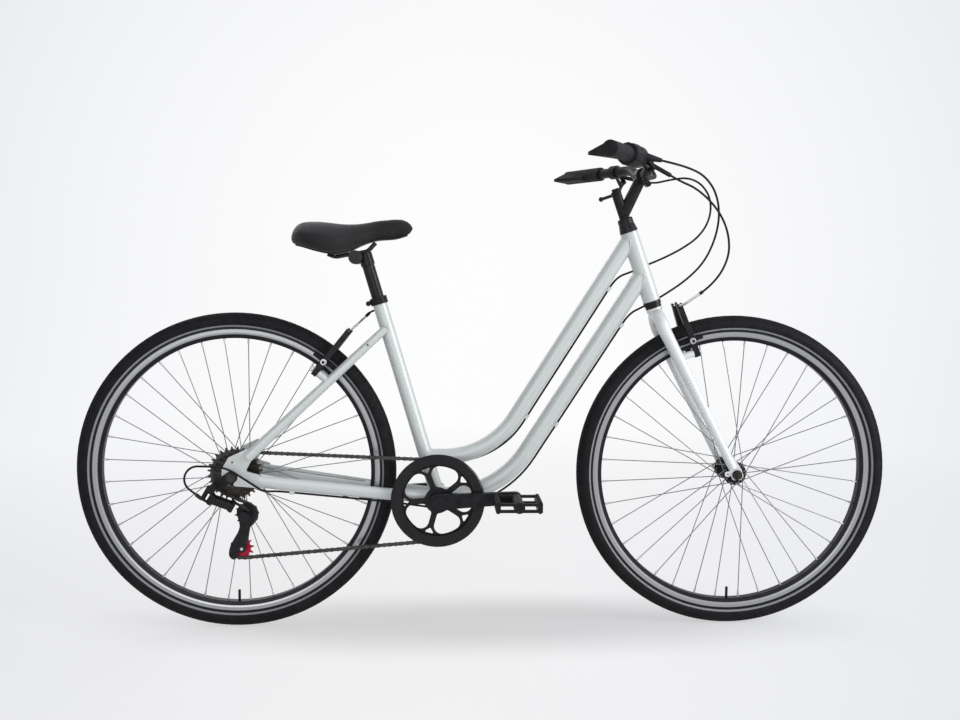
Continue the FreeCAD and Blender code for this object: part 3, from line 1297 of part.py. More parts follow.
HOUSING_RADIUS = 22
shifter_housing = sleeve_on_bar(housing_start, housing_end, HOUSING_RADIUS)
spout_root = on_bar(housing_start + 13, -8, 2)
spout_tip = on_bar(housing_end + 16, -44, -7)
spout = taper(spout_root, spout_tip, 10, 4.2)
shifter_housing = shifter_housing.fuse(spout).cut(rod(on_bar(housing_start - 1), on_bar(bracket_end),
                                                      size("bar_radius")))
right_bracket = lever_bracket(RIGHT_BARREL_DROP)
left_bracket = mirrored(lever_bracket(LEFT_BARREL_DROP))
node("bar_control_brackets", feature("bar_control_brackets", Part.makeCompound(
    [shifter_housing, right_bracket, left_bracket])))
lever = brake_lever()
node("right_brake_lever", feature("right_brake_lever", lever))
node("left_brake_lever", feature("left_brake_lever", mirrored(lever)))

# Brake arms with pads
ARM_FRONT = 7
ARM_BACK = -5
ARM_MIDDLE = (ARM_FRONT + ARM_BACK) / 2
CRADLE_HALF = 2.7
CRADLE_HEIGHT = 7


def brake_arm(point):
    """Right-hand arm of a rim brake: arm with a cable cradle on top, pad post, holder, pad and return spring."""
    r = size("brake_pivot_radius")
    y = size("brake_half_spacing")
    top = r + size("brake_arm_length")
    profile = [(y - 6, r - 10), (y + 6, r - 10), (y + 6, r + 10), (y + 3, r + 44), (y - 11, top), (y - 22, top),
               (y - 9, r + 44), (y - 6, r + 10)]
    arm = slab([point(radial, ARM_BACK, -left) for left, radial in profile], 3,
               point(0, ARM_FRONT, 0) - point(0, ARM_BACK, 0))
    arm = arm.cut(rod(point(r, -20, -y), point(r, 20, -y), size("stud_radius") + size("fit_clearance")))
    cradle = [(y - 11, top - 3), (y - 11, top + CRADLE_HEIGHT), (y - 22, top + CRADLE_HEIGHT), (y - 22, top - 3)]
    cheeks = []
    for first, last in ((ARM_BACK, ARM_MIDDLE - CRADLE_HALF), (ARM_MIDDLE + CRADLE_HALF, ARM_FRONT)):
        cheeks.append(slab([point(radial, first, -left) for left, radial in cradle], 2,
                           point(0, last, 0) - point(0, first, 0)))
    track = size("rim_flange_radius") - size("rim_track_depth") / 2
    pad_inner = size("rim_width") / 2 + size("pad_gap")
    pad_outer = pad_inner + size("pad_thickness")
    post = rod(point(track, ARM_MIDDLE, -pad_outer), point(track, ARM_MIDDLE, -y - 11), 3.2)
    half = size("pad_height") / 2
    reach = size("pad_length") / 2

    def block(first, last, half_height, half_length):
        low = track - half_height
        high = track + half_height
        start = ARM_MIDDLE - half_length
        end = ARM_MIDDLE + half_length
        corners = [point(low, start, -first), point(low, end, -first), point(high, end, -first),
                   point(high, start, -first)]
        return slab(corners, 2, LEFT * (first - last))

    holder = block(pad_outer, pad_outer + 2, half - 1.5, reach - 6)
    pad = block(pad_inner, pad_outer, half, reach)
    spring = rod(point(r + 9, ARM_FRONT + 0.9, -y), point(r + 62, ARM_FRONT + 0.9, -y + 4), 0.9)
    return Part.makeCompound([arm.multiFuse([post, holder] + cheeks), pad, spring])


for end, point in (("front", front_brake_point), ("rear", rear_brake_point)):
    arm_shape = brake_arm(point)
    node(end + "_brake_arm_right", feature(end + "_brake_arm_right", arm_shape))
    node(end + "_brake_arm_left", feature(end + "_brake_arm_left", mirrored(arm_shape)))

# Seat post, clamp, rails, base and cushion
post_low = seat(size("seat_tube_length") - size("post_insert"))
post_body = primitive("Cylinder", "post_body", post_low, seat_up, Radius="sizes.post_radius",
                      Height="sizes.post_shoulder - sizes.seat_tube_length + sizes.post_insert")
post_neck = primitive("Cylinder", "post_neck", seat(size("post_shoulder")), seat_up,
                      Radius="sizes.post_neck_radius", Height="sizes.post_top - sizes.post_shoulder")
post_hollow = primitive("Cylinder", "post_hollow", post_low, seat_up, Radius="sizes.post_radius - 2.6",
                        Height="sizes.post_insert + 40")
node("seat_post", cut("seat_post", fuse("seat_post", post_body, post_neck), post_hollow))

clamp_point = seat(size("post_top") - 4, -20)
rail_y = size("rail_half_spacing")
CLAMP_RADIUS = 15
band_low = seat(size("post_top") - 28)
band_high = seat(size("post_top") - 1)
clamp_band = rod(band_low, band_high, 15.4)
clamp_core = rod(clamp_point - LEFT * 12, clamp_point + LEFT * 12, 12)
clamp_rod = rod(clamp_point - LEFT * 33, clamp_point + LEFT * 33, 4)
neck_space = rod(band_low, seat(size("post_top") + CLAMP_RADIUS), size("post_neck_radius"))
clamp_shape = clamp_band.multiFuse([clamp_core, clamp_rod]).cut(neck_space)
node("saddle_clamp", feature("saddle_clamp", clamp_shape))

rail_low = clamp_point + Vector(-46, rail_y, 0)
rail_rear = clamp_point + Vector(-60, rail_y, 5.4)
rail_front = clamp_point + Vector(26, rail_y, 14)
rail_nose = clamp_point + Vector(42, rail_y, 32)
left_rail = tube([rail_rear, rail_low, rail_front, rail_nose], [14, 18], size("rail_radius"))
washer_start = clamp_point + LEFT * (rail_y - 6)
washer = rod(washer_start, washer_start + LEFT * 13, CLAMP_RADIUS)
washer = washer.cut(rod(clamp_point, clamp_point + LEFT * 60, 4 + size("fit_clearance"))).cut(left_rail)
node("saddle_rails", feature("saddle_rails", Part.makeCompound([left_rail, washer, mirrored(left_rail),
                                                               mirrored(washer)])))

# Cushion sections from tail to nose: distance ahead of the clamp, top height, skirt height, half width share
saddle_origin = clamp_point
CUSHION = (
    (-136, 54, 31, 0.50), (-128, 68, 27, 0.68), (-114, 76, 24, 0.86), (-96, 78, 19, 0.97), (-64, 77, 11, 1.0),
    (-38, 74, 9, 0.90), (-8, 73, 20, 0.62), (20, 76, 32, 0.40), (50, 82, 40, 0.29), (84, 85, 43, 0.26),
    (106, 83, 49, 0.22), (119, 74, 55, 0.14), (123, 68, 60, 0.08))


def cushion_section(ahead, top, skirt, share):
    """Crowned section whose sides draw in below their widest line."""
    half = size("saddle_width") / 2 * share
    tuck = half * 0.86
    shoulder_z = skirt + (top - skirt) * 0.55
    p = [saddle_origin + Vector(ahead, y, z) for y, z in (
        (-tuck, skirt), (-half, skirt + (top - skirt) * 0.3), (-half * 0.93, shoulder_z), (0, top),
        (half * 0.93, shoulder_z), (half, skirt + (top - skirt) * 0.3), (tuck, skirt))]
    return Part.Wire([Part.LineSegment(p[6], p[0]).toShape(), Part.Arc(p[0], p[1], p[2]).toShape(),
                      Part.Arc(p[2], p[3], p[4]).toShape(), Part.Arc(p[4], p[5], p[6]).toShape()])


cover = Part.makeLoft([cushion_section(*row) for row in CUSHION], True, False)
BASE_GAP = 0.3
BASE_THICKNESS = 3
BASE_TAIL = -125
BASE_NOSE = 112


def base_section(ahead, top, skirt, share):
    half = size("saddle_width") / 2 * share * 0.8
    upper = skirt - BASE_GAP
    lower = upper - BASE_THICKNESS
    corners = [saddle_origin + Vector(ahead, y, z) for y, z in ((-half, upper), (half, upper), (half, lower),
                                                                (-half, lower))]
    return Part.makePolygon(corners + corners[:1])


base = Part.makeLoft([base_section(*row) for row in CUSHION], True, False)
base_span = Part.makeBox(BASE_NOSE - BASE_TAIL, 2 * size("saddle_width"), 2 * size("saddle_width"),
                         saddle_origin + Vector(BASE_TAIL, -size("saddle_width"), -size("saddle_width")))
base = base.common(base_span)
node("saddle_cover", feature("saddle_cover", cover))
base = base.cut(left_rail).cut(mirrored(left_rail))
node("saddle_base", feature("saddle_base", base))


# Cables, each along its real route
def route_radii(points):
    """Largest arc that the runs beside each inner point allow."""
    radii = []
    for before, corner, after in zip(points, points[1:], points[2:]):
        inward = before - corner
        outward = after - corner
        half_turn = (math.pi - inward.getAngle(outward)) / 2
        radii.append(0.49 * min(inward.Length, outward.Length) / math.tan(half_turn))
    return radii


WIRE_RADIUS = 0.9


def cable(name, points, fixed_radii=None, wire_end=None):
    """Housing along the route, and bare wire from its last point when an end for it is given."""
    radii = route_radii(points)
    for index, radius in (fixed_radii or {}).items():
        radii[index - 1] = radius
    wire = path(points, radii)
    shape = pipe(wire, Part.Wire([Part.makeCircle(CABLE_RADIUS, points[0], points[1] - points[0])]))
    expected = math.pi * CABLE_RADIUS ** 2 * wire.Length
    print(name, "length", round(wire.Length), "volume ratio", round(shape.Volume / expected, 4),
          "radii", [round(radius) for radius in radii])
    if wire_end:
        shape = shape.fuse(rod(points[-1], wire_end, WIRE_RADIUS))
    node(name, feature(name, shape))


def left_of(point):
    return Vector(point.x, -point.y, point.z)


CABLE_START = 0.3
CABLE_LEAD = 28
right_barrel = barrel_tip(RIGHT_BARREL_DROP)
right_heading = barrel_heading(RIGHT_BARREL_DROP)
left_barrel = left_of(barrel_tip(LEFT_BARREL_DROP))
left_heading = left_of(barrel_heading(LEFT_BARREL_DROP))
spout_heading = unit(spout_tip - spout_root)
cradle_radial = size("brake_pivot_radius") + size("brake_arm_length") + CABLE_RADIUS + 0.9
CROSS_END = 16
WIRE_END = 28
NOODLE_RADIUS = 20

front_route = [
    right_barrel + right_heading * CABLE_START, right_barrel + right_heading * CABLE_LEAD, Vector(421, -127, 969),
    Vector(455, -119, 945), Vector(485, -109, 912), Vector(504, -97, 874), Vector(510, -86, 833),
    Vector(497, -76, 793), Vector(472, -67, 761)]
cable("front_brake_cable", front_route + [
    front_brake_point(cradle_radial, ARM_MIDDLE, -56), front_brake_point(cradle_radial, ARM_MIDDLE, -CROSS_END)],
    {len(front_route): NOODLE_RADIUS}, front_brake_point(cradle_radial, ARM_MIDDLE, WIRE_END))

upper_start, upper_corner = upper_cable[:2]
upper_heading = unit(upper_corner - upper_start)
STOP_LEAD = 26
upper_stop = upper_start + upper_heading * (UPPER_STOPS[0] - STOP_LEAD)
bend_reach = size("upper_tube_bend") * math.tan(math.radians(size("upper_tube_slope")) / 2)
bend_centre = Vector(upper_line[1].x - bend_reach, 0, size("upper_tube_floor") + size("upper_tube_bend"))


BEND_STEP = math.radians(18)


def round_bend(slope, roll):
    """Point beside the upper tube's bend, at a slope of the tube and rolled from its underside to its left."""
    offset = (size("upper_tube_bend") + size("upper_tube_radius") + CABLE_BELOW) / math.cos(BEND_STEP / 2)
    offset -= size("upper_tube_bend")
    outward = Vector(math.sin(math.radians(slope)), 0, -math.cos(math.radians(slope)))
    axis_point = bend_centre + outward * size("upper_tube_bend")
    below = offset * math.cos(math.radians(roll))
    beside = offset * math.sin(math.radians(roll))
    return axis_point + outward * below + LEFT * beside


seat_gap = size("seat_tube_radius") + CABLE_RADIUS + 0.75
SIDE_ANGLE = math.radians(30)
side_ahead = seat_gap * math.sin(SIDE_ANGLE)
side_left = seat_gap * math.cos(SIDE_ANGLE)
seat_top = size("seat_tube_length")
rear_loop = [
    left_barrel + left_heading * CABLE_START, left_barrel + left_heading * CABLE_LEAD, Vector(426, 122, 1008),
    Vector(462, 102, 1012), Vector(488, 82, 998), Vector(505, 66, 969), Vector(507, 54, 935), Vector(496, 47, 900),
    Vector(472, 42, 870), Vector(435, 38, 845), Vector(393, 36, 824), Vector(356, 32, 809), Vector(322, 26, 794)]
frame_run = [
    upper_stop, round_bend(size("upper_tube_slope") - 9, 0), round_bend(size("upper_tube_slope") - 27, 18),
    round_bend(13, 36), seat(75, 4, seat_gap + 3.2), seat(seat_top - 42, side_ahead, side_left),
    seat(seat_top - 20, -16, 26)]
rear_route = rear_loop + frame_run
cable("rear_brake_cable", rear_route + [
    rear_brake_point(cradle_radial, ARM_MIDDLE, 64), rear_brake_point(cradle_radial, ARM_MIDDLE, CROSS_END)],
    {len(rear_loop): 50, len(rear_route): NOODLE_RADIUS}, rear_brake_point(cradle_radial, ARM_MIDDLE, -WIRE_END))

lower_start, lower_corner = lower_cable[:2]
lower_heading = unit(lower_corner - lower_start)
lower_stop = lower_start + lower_heading * (LOWER_STOPS[0] - STOP_LEAD)
under_shell = bracket - UP * (size("bracket_radius") + CABLE_RADIUS + 3.2)
shell_corner = lower_corner + lower_heading * ((under_shell.z - lower_corner.z) / lower_heading.z)
stay_guide = stay_points[1] + stay_below
stay_exit = stay_stop + stop_heading + unit(stay_run) * STOP_LEAD
shift_loop = [
    spout_tip + spout_heading * CABLE_START, spout_tip + spout_heading * CABLE_LEAD, Vector(401, -150, 1007),
    Vector(434, -134, 996), Vector(463, -112, 974), Vector(484, -84, 943), Vector(495, -54, 905),
    Vector(494, -22, 860), Vector(479, 6, 814), Vector(443, 24, 774), Vector(387, 30, 736), Vector(348, 27, 715)]
shift_route = shift_loop + [lower_stop]
cable("shift_cable", shift_route + [
    shell_corner, under_shell - LEFT * 9, stay_guide, stay_exit, stay_exit + Vector(-26, -20, 3),
    Vector(-520, -85, 346), Vector(-562, -87, 374), Vector(-630, -91, 376), Vector(-646.7, -92, 358.2),
    Vector(-645, -92, 334), adjuster_end - adjuster_heading * CABLE_START],
    {len(shift_route): size("lower_tube_bend") + size("lower_tube_radius") + CABLE_BELOW,
     len(shift_route) + 1: 75})

# Tests and files
doc.recompute()
for piece in doc.Objects:
    if "Invalid" in piece.State or "Error" in piece.State:
        raise RuntimeError("failed: " + piece.Label)
for piece in nodes:
    if piece.Shape.isNull() or not piece.Shape.isValid():
        raise RuntimeError("bad shape: " + piece.Label)
os.makedirs("parts", exist_ok=True)
for piece in nodes:
    piece.Shape.exportStep(f"parts/{piece.Label}.step")
print(len(nodes), "sub-parts")
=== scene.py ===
# %% [markdown]
# # A step-through bicycle, dressed in Blender
# The solids of the bicycle come from the imported model, and they are already in their places, in metres. X
# points forward, Y to the left, Z up, and the floor is at zero. This lesson leaves their shapes alone and
# gives them paint, rubber and steel. Then it adds the soft and small pieces that solids don't show well,
# and three solids give way to copies: the saddle's cover to a softer cushion, two cables to plain ones.

# %% Load the solids
import json
import math

import bmesh
import bpy
from mathutils import Matrix, Vector
from mathutils.bvhtree import BVHTree


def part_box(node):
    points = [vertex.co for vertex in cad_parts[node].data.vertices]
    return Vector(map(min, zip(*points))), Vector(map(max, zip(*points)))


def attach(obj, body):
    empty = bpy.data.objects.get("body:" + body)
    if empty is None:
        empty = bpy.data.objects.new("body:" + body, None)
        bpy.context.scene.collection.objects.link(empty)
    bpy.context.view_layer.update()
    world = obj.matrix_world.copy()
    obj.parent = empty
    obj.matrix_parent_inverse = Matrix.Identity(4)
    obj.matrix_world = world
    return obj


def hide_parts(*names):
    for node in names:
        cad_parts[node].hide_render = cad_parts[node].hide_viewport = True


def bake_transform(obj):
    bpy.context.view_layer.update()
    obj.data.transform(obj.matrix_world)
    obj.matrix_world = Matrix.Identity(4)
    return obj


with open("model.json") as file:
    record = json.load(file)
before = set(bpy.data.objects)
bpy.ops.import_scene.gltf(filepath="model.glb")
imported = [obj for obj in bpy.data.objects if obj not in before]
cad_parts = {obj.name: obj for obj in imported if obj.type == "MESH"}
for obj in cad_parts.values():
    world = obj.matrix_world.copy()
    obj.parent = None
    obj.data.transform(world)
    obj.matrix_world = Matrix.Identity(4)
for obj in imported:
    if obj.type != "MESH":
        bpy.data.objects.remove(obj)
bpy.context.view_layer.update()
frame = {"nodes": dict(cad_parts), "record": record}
scene = bpy.context.scene
scene.view_settings.view_transform = "Standard"

# %% [markdown]
# ## The camera
# The photograph was taken from the drive side, from a little above the tops of the wheels. The two wheels
# give the camera away: each one is an ellipse whose size and squash depend on where the lens stood. The
# values below were solved from those ellipses. Turning yaw, pitch and roll into three axes by hand keeps
# every step in view, which an Euler angle would hide.

# %% Camera
CAMERA_SPOT = Vector((-0.1153, -2.1992, 0.7841))
CAMERA_YAW = 0.04468
CAMERA_PITCH = -0.08493
CAMERA_ROLL = 0.00812
PHOTO_WIDTH = 960
FOCAL_PIXELS = 996.96
SENSOR_WIDTH = 36


def add_object(name, data):
    """A new object for a mesh, curve, lamp or camera, linked into the scene."""
    made = bpy.data.objects.new(name, data)
    scene.collection.objects.link(made)
    return made


ahead = Vector((math.sin(CAMERA_YAW) * math.cos(CAMERA_PITCH),
                math.cos(CAMERA_YAW) * math.cos(CAMERA_PITCH), math.sin(CAMERA_PITCH)))
level_right = ahead.cross(Vector((0, 0, 1))).normalized()
level_up = level_right.cross(ahead)
right = level_right * math.cos(CAMERA_ROLL) + level_up * math.sin(CAMERA_ROLL)
above = level_up * math.cos(CAMERA_ROLL) - level_right * math.sin(CAMERA_ROLL)
camera_turn = Matrix((right, above, -ahead)).transposed().to_4x4()

lens = bpy.data.cameras.new("photo_camera")
lens.sensor_fit = "HORIZONTAL"
lens.sensor_width = SENSOR_WIDTH
lens.lens = SENSOR_WIDTH * FOCAL_PIXELS / PHOTO_WIDTH
camera = add_object("photo_camera", lens)
camera.matrix_world = Matrix.Translation(CAMERA_SPOT) @ camera_turn
scene.camera = camera
print("lens:", round(lens.lens, 2), "mm")

# %% [markdown]
# ## Small tools for materials
# Every finish here is made of nodes, so it has no pictures in it and holds up at any distance. A few
# helpers keep the recipes short: one starts a material, one adds a node, and two wire sockets together.
# All patterns use object coordinates. The solids sit at the origin with their place in the mesh, so these
# coordinates are metres in the bicycle's own frame, and they stay with a piece when it turns.

# %% Material helpers
def start(name, colour, rough, metal=0.0):
    """A new material whose shader has these plain values."""
    material = bpy.data.materials.new(name)
    material.use_nodes = True
    shader = material.node_tree.nodes["Principled BSDF"]
    shader.inputs["Base Color"].default_value = (*colour, 1)
    shader.inputs["Metallic"].default_value = metal
    shader.inputs["Roughness"].default_value = rough
    return material


def add(material, kind, **values):
    """One more node; lower-case names are its settings, the others its inputs."""
    node = material.node_tree.nodes.new(kind)
    for key, value in values.items():
        if key[0].islower():
            setattr(node, key, value)
        else:
            node.inputs[key.replace("_", " ")].default_value = value
    return node


def wire(material, source, target):
    material.node_tree.links.new(source, target)


def shader_of(material):
    return material.node_tree.nodes["Principled BSDF"]


def feed(material, source, name):
    """Wires a socket to one of the shader's inputs."""
    wire(material, source, shader_of(material).inputs[name])


print("material helpers ready")

# %% [markdown]
# ### Patterns
# Almost every finish needs the same few patterns: soft patches, pebbles, two tones that mix and a fine
# relief. They could be drawn as pictures, but noise in metres keeps its true size on every piece, large
# or small.

# %% Pattern helpers
def place_of(material):
    """Object coordinates, in metres."""
    return add(material, "ShaderNodeTexCoord").outputs["Object"]


def speckle(material, scale, detail=3):
    """Soft random patches, so many to the metre."""
    noise = add(material, "ShaderNodeTexNoise", Scale=scale, Detail=detail)
    wire(material, place_of(material), noise.inputs["Vector"])
    return noise.outputs["Fac"]


def cells(material, scale, feature="F1"):
    """Cells like pebbled skin, so many to the metre."""
    voronoi = add(material, "ShaderNodeTexVoronoi", feature=feature, Scale=scale)
    wire(material, place_of(material), voronoi.inputs["Vector"])
    return voronoi.outputs["Distance"]


def between(material, value, low, high, result_low=0.0, result_high=1.0):
    """Maps a value's range onto another and clamps it."""
    node = add(material, "ShaderNodeMapRange", From_Min=low, From_Max=high,
               To_Min=result_low, To_Max=result_high)
    wire(material, value, node.inputs["Value"])
    return node.outputs["Result"]


def maths(material, operation, first, second=None):
    """One sum; each side is a socket or a number."""
    node = add(material, "ShaderNodeMath", operation=operation)
    for socket, value in zip(node.inputs, (first, second)):
        if isinstance(value, (int, float)):
            socket.default_value = value
        elif value is not None:
            wire(material, value, socket)
    return node.outputs["Value"]


def two_tone(material, factor, dark, light):
    """A colour between two tones, each a colour or a socket."""
    node = add(material, "ShaderNodeMix", data_type="RGBA")
    wire(material, factor, node.inputs[0])
    for socket, tone in zip(node.inputs[6:8], (dark, light)):
        if isinstance(tone, tuple):
            socket.default_value = (*tone, 1)
        else:
            wire(material, tone, socket)
    return node.outputs[2]


print("pattern helpers ready")

# %% Helpers for patches and relief
PATCH_LOW = 0.3
PATCH_HIGH = 0.7


def mottled(material, dark, light, scale, detail=3, low=PATCH_LOW, high=PATCH_HIGH):
    """Two tones in soft patches; the marks low and high set how much of each tone shows."""
    patches = between(material, speckle(material, scale, detail), low, high)
    return two_tone(material, patches, dark, light)


def uneven_shine(material, scale, detail, low, high):
    """Roughness that goes from one value to another in soft patches."""
    patches = speckle(material, scale, detail)
    feed(material, between(material, patches, PATCH_LOW, PATCH_HIGH, low, high), "Roughness")


def toned(tone, gain, veil=0.0):
    """A tone made lighter or darker, with an even grey veil over it."""
    return tuple(channel * gain + veil for channel in tone)


def relief(material, height, depth, strength, edge=0.0):
    """Bump of a real depth; an edge above zero also softens the corners of the solid by that radius."""
    bump = add(material, "ShaderNodeBump", Strength=strength, Distance=depth)
    wire(material, height, bump.inputs["Height"])
    if edge:
        bevel = add(material, "ShaderNodeBevel", samples=4, Radius=edge)
        wire(material, bevel.outputs["Normal"], bump.inputs["Normal"])
    feed(material, bump.outputs["Normal"], "Normal")


print("patch and relief helpers ready")

# %% [markdown]
# ## Silver paint
# The frame and fork carry a silver metallic paint: aluminium flakes under a clear lacquer. A plain grey
# would look like plastic. Here the flakes are fine cells that shift the tone a little from one to the
# next, broad patches move the roughness as a sprayed coat does, and the shader's coat is the lacquer on
# top. The fork's tone is lighter than the frame's, and that difference is a painted highlight for the
# lamp light on its front.

# %% Frame and fork paint
# The fork's lighter tone is a painted highlight: the frame's paint, made lighter for the lamp light on its
# front.
PAINTS = {"frame_paint": (0.555, 0.585, 0.572), "fork_paint": (0.68, 0.70, 0.70)}


def silver_paint(name, tone):
    paint = start(name, tone, rough=0.5, metal=0.25)
    flakes = between(paint, cells(paint, scale=2600), low=0.1, high=0.6)
    settled = mottled(paint, toned(tone, gain=0.975), tone, scale=9)
    feed(paint, two_tone(paint, flakes, settled, toned(tone, gain=1.02)), "Base Color")
    uneven_shine(paint, scale=14, detail=3, low=0.45, high=0.55)
    shader_of(paint).inputs["Coat Weight"].default_value = 0.3
    shader_of(paint).inputs["Coat Roughness"].default_value = 0.15
    relief(paint, speckle(paint, scale=70, detail=1), depth=0.00004, strength=0.2)
    return paint


finishes = {name: silver_paint(name, tone) for name, tone in PAINTS.items()}
print("paints:", list(PAINTS))

# %% [markdown]
# ## Black metal and black alloy
# The seat post, chainring and derailleur are black painted steel, and the stem, bar, brakes, hubs and
# cranks are black alloy. Black is never one black: handling polishes it and dust dulls it. Two noises do
# that, a broad one for the tone and a fine one for the roughness, and a bevel in the shader gives each
# sharp edge its thin highlight.

# %% Black metals
DULL_SHINE = 0.12
BLACK_METALS = {
    "black_metal": {"tone": (0.008, 0.008, 0.009), "rough": 0.34, "metal": 0.0, "grain": 300, "coat": 0.12},
    "black_alloy": {"tone": (0.010, 0.010, 0.011), "rough": 0.40, "metal": 0.15, "grain": 420, "coat": 0.0},
}


def black_metal(name, tone, rough, metal, grain, coat):
    finish = start(name, tone, rough=rough, metal=metal)
    shader_of(finish).inputs["Specular IOR Level"].default_value = DULL_SHINE
    shader_of(finish).inputs["Coat Weight"].default_value = coat
    dull = toned(tone, gain=1.7, veil=0.004)
    feed(finish, mottled(finish, tone, dull, scale=60, low=0.35), "Base Color")
    uneven_shine(finish, scale=grain, detail=5, low=rough - 0.07, high=rough + 0.09)
    relief(finish, speckle(finish, scale=grain * 2), depth=0.00008, strength=0.4, edge=0.0006)
    return finish


for name, recipe in BLACK_METALS.items():
    finishes[name] = black_metal(name, **recipe)
print("black metals:", list(BLACK_METALS))

# %% [markdown]
# ## Steels
# The crank spindle, the pedal axles and the brakes' pipes and nuts are plated steel, the sprockets and
# the wheels' axles are plated brown-black, and the chain has oil in it. They share one recipe, bare metal
# with fine scratches, and differ in tone, in roughness and in how much brown grime sits on them.

# %% Steels
STEELS = {
    "bright_steel": {"tone": (0.55, 0.55, 0.56), "rough": 0.30,
                     "grime": (0.30, 0.29, 0.28), "grime_share": 0.3},
    "dark_steel": {"tone": (0.052, 0.047, 0.041), "rough": 0.38,
                   "grime": (0.026, 0.022, 0.018), "grime_share": 0.6},
    "chain_steel": {"tone": (0.072, 0.070, 0.068), "rough": 0.40,
                    "grime": (0.027, 0.026, 0.025), "grime_share": 0.7},
}
GRIME_FULL = 0.75
GRIME_LEAST = 0.65
GRIME_GAIN = 0.4


def steel(name, tone, rough, grime, grime_share):
    finish = start(name, tone, rough=rough, metal=0.9)
    clean = GRIME_LEAST - grime_share * GRIME_GAIN
    patches = mottled(finish, tone, grime, scale=90, detail=6, low=clean, high=GRIME_FULL)
    feed(finish, patches, "Base Color")
    uneven_shine(finish, scale=500, detail=6, low=rough - 0.08, high=rough + 0.14)
    relief(finish, speckle(finish, scale=1000, detail=4), depth=0.00006, strength=0.5, edge=0.0003)
    return finish


for name, recipe in STEELS.items():
    finishes[name] = steel(name, **recipe)
print("steels:", list(STEELS))

# %% [markdown]
# ## Rings round the axle
# Spokes, rim and tyre are coloured in rings: bright nipples at the spokes' ends, a machined band on the
# rim and a grey line on the tyre's side wall. A ring is a range of distance from the axle. Both wheels
# stand equally far from the middle of the bicycle, so the distance works with the absolute value of X,
# and one material does for both.

# %% Distance from the axle
AXLE_AHEAD = 0.551
AXLE_HEIGHT = 0.349
RING_SOFT = 0.0006


def axle_offsets(material):
    """How far a point lies from its wheel's axle, along the ground and upwards."""
    parts = add(material, "ShaderNodeSeparateXYZ")
    wire(material, place_of(material), parts.inputs["Vector"])
    along = maths(material, "SUBTRACT", maths(material, "ABSOLUTE", parts.outputs["X"]), AXLE_AHEAD)
    up = maths(material, "SUBTRACT", parts.outputs["Z"], AXLE_HEIGHT)
    return along, up


def axle_distance(material, along, up):
    along_square = maths(material, "MULTIPLY", along, along)
    up_square = maths(material, "MULTIPLY", up, up)
    return maths(material, "SQRT", maths(material, "ADD", along_square, up_square))


def ring(material, distance, inner, outer):
    """One inside a ring and zero outside it, with soft rims."""
    rise = between(material, distance, inner - RING_SOFT, inner + RING_SOFT)
    fall = between(material, distance, outer - RING_SOFT, outer + RING_SOFT, 1, 0)
    return maths(material, "MULTIPLY", rise, fall)


print("ring helpers ready")

# %% [markdown]
# ### Spokes
# A spoke is drawn wire, a dull grey, and it ends at the rim in a bright nipple. The solid has both in one
# piece, so the ring of distances where the nipples are gets a brighter tone, which saves a second
# material.

# %% Spokes
NIPPLE_INNER = 0.2815
RIM_INSIDE = 0.295

spokes = start("spoke_steel", (0.2, 0.2, 0.205), rough=0.4, metal=0.9)
spoke_along, spoke_up = axle_offsets(spokes)
nipples = ring(spokes, axle_distance(spokes, spoke_along, spoke_up), NIPPLE_INNER, RIM_INSIDE)
drawn_wire = two_tone(spokes, speckle(spokes, scale=140, detail=5), (0.15, 0.15, 0.154), (0.25, 0.25, 0.255))
feed(spokes, two_tone(spokes, nipples, drawn_wire, (0.52, 0.52, 0.53)), "Base Color")
uneven_shine(spokes, scale=500, detail=6, low=0.32, high=0.48)
relief(spokes, speckle(spokes, scale=1000, detail=4), depth=0.00003, strength=0.4)
finishes["spoke_steel"] = spokes
print("spokes ready")

# %% [markdown]
# ### Rim
# The rim is black alloy with a band turned bare on each side, where the pads brake. Turning leaves fine
# grooves round the axle. A noise that depends on nothing but the distance from the axle makes just such
# rings.

# %% Rim
TRACK_INNER = 0.3028
TRACK_OUTER = 0.3135

rim = start("rim_alloy", (0.02, 0.02, 0.022), rough=0.35, metal=0.9)
rim_along, rim_up = axle_offsets(rim)
rim_distance = axle_distance(rim, rim_along, rim_up)
track = ring(rim, rim_distance, TRACK_INNER, TRACK_OUTER)
turning_marks = add(rim, "ShaderNodeTexNoise", noise_dimensions="1D", Scale=5200, Detail=2)
wire(rim, rim_distance, turning_marks.inputs["W"])
machined = two_tone(rim, turning_marks.outputs["Fac"], (0.29, 0.292, 0.296), (0.45, 0.453, 0.457))
black_side = two_tone(rim, speckle(rim, scale=70), (0.012, 0.012, 0.013), (0.026, 0.026, 0.028))
feed(rim, two_tone(rim, track, black_side, machined), "Base Color")
feed(rim, between(rim, track, 0, 1, result_low=0.42, result_high=0.30), "Roughness")
relief(rim, turning_marks.outputs["Fac"], depth=0.00004, strength=0.5, edge=0.0004)
finishes["rim_alloy"] = rim
print("rim ready")

# %% [markdown]
# ### Tyre
# The side wall of a tyre shows the cords of its casing as fine ribs, and here a grey line runs round it.
# The ribs are the sine of the angle round the axle. They end where the tread begins, because rubber
# covers the cords there.

# %% Tyre
STRIPE_INNER = 0.3188
STRIPE_OUTER = 0.3227
TREAD_START = 0.338
TREAD_FADE = 0.002
CORD_RIBS = 420

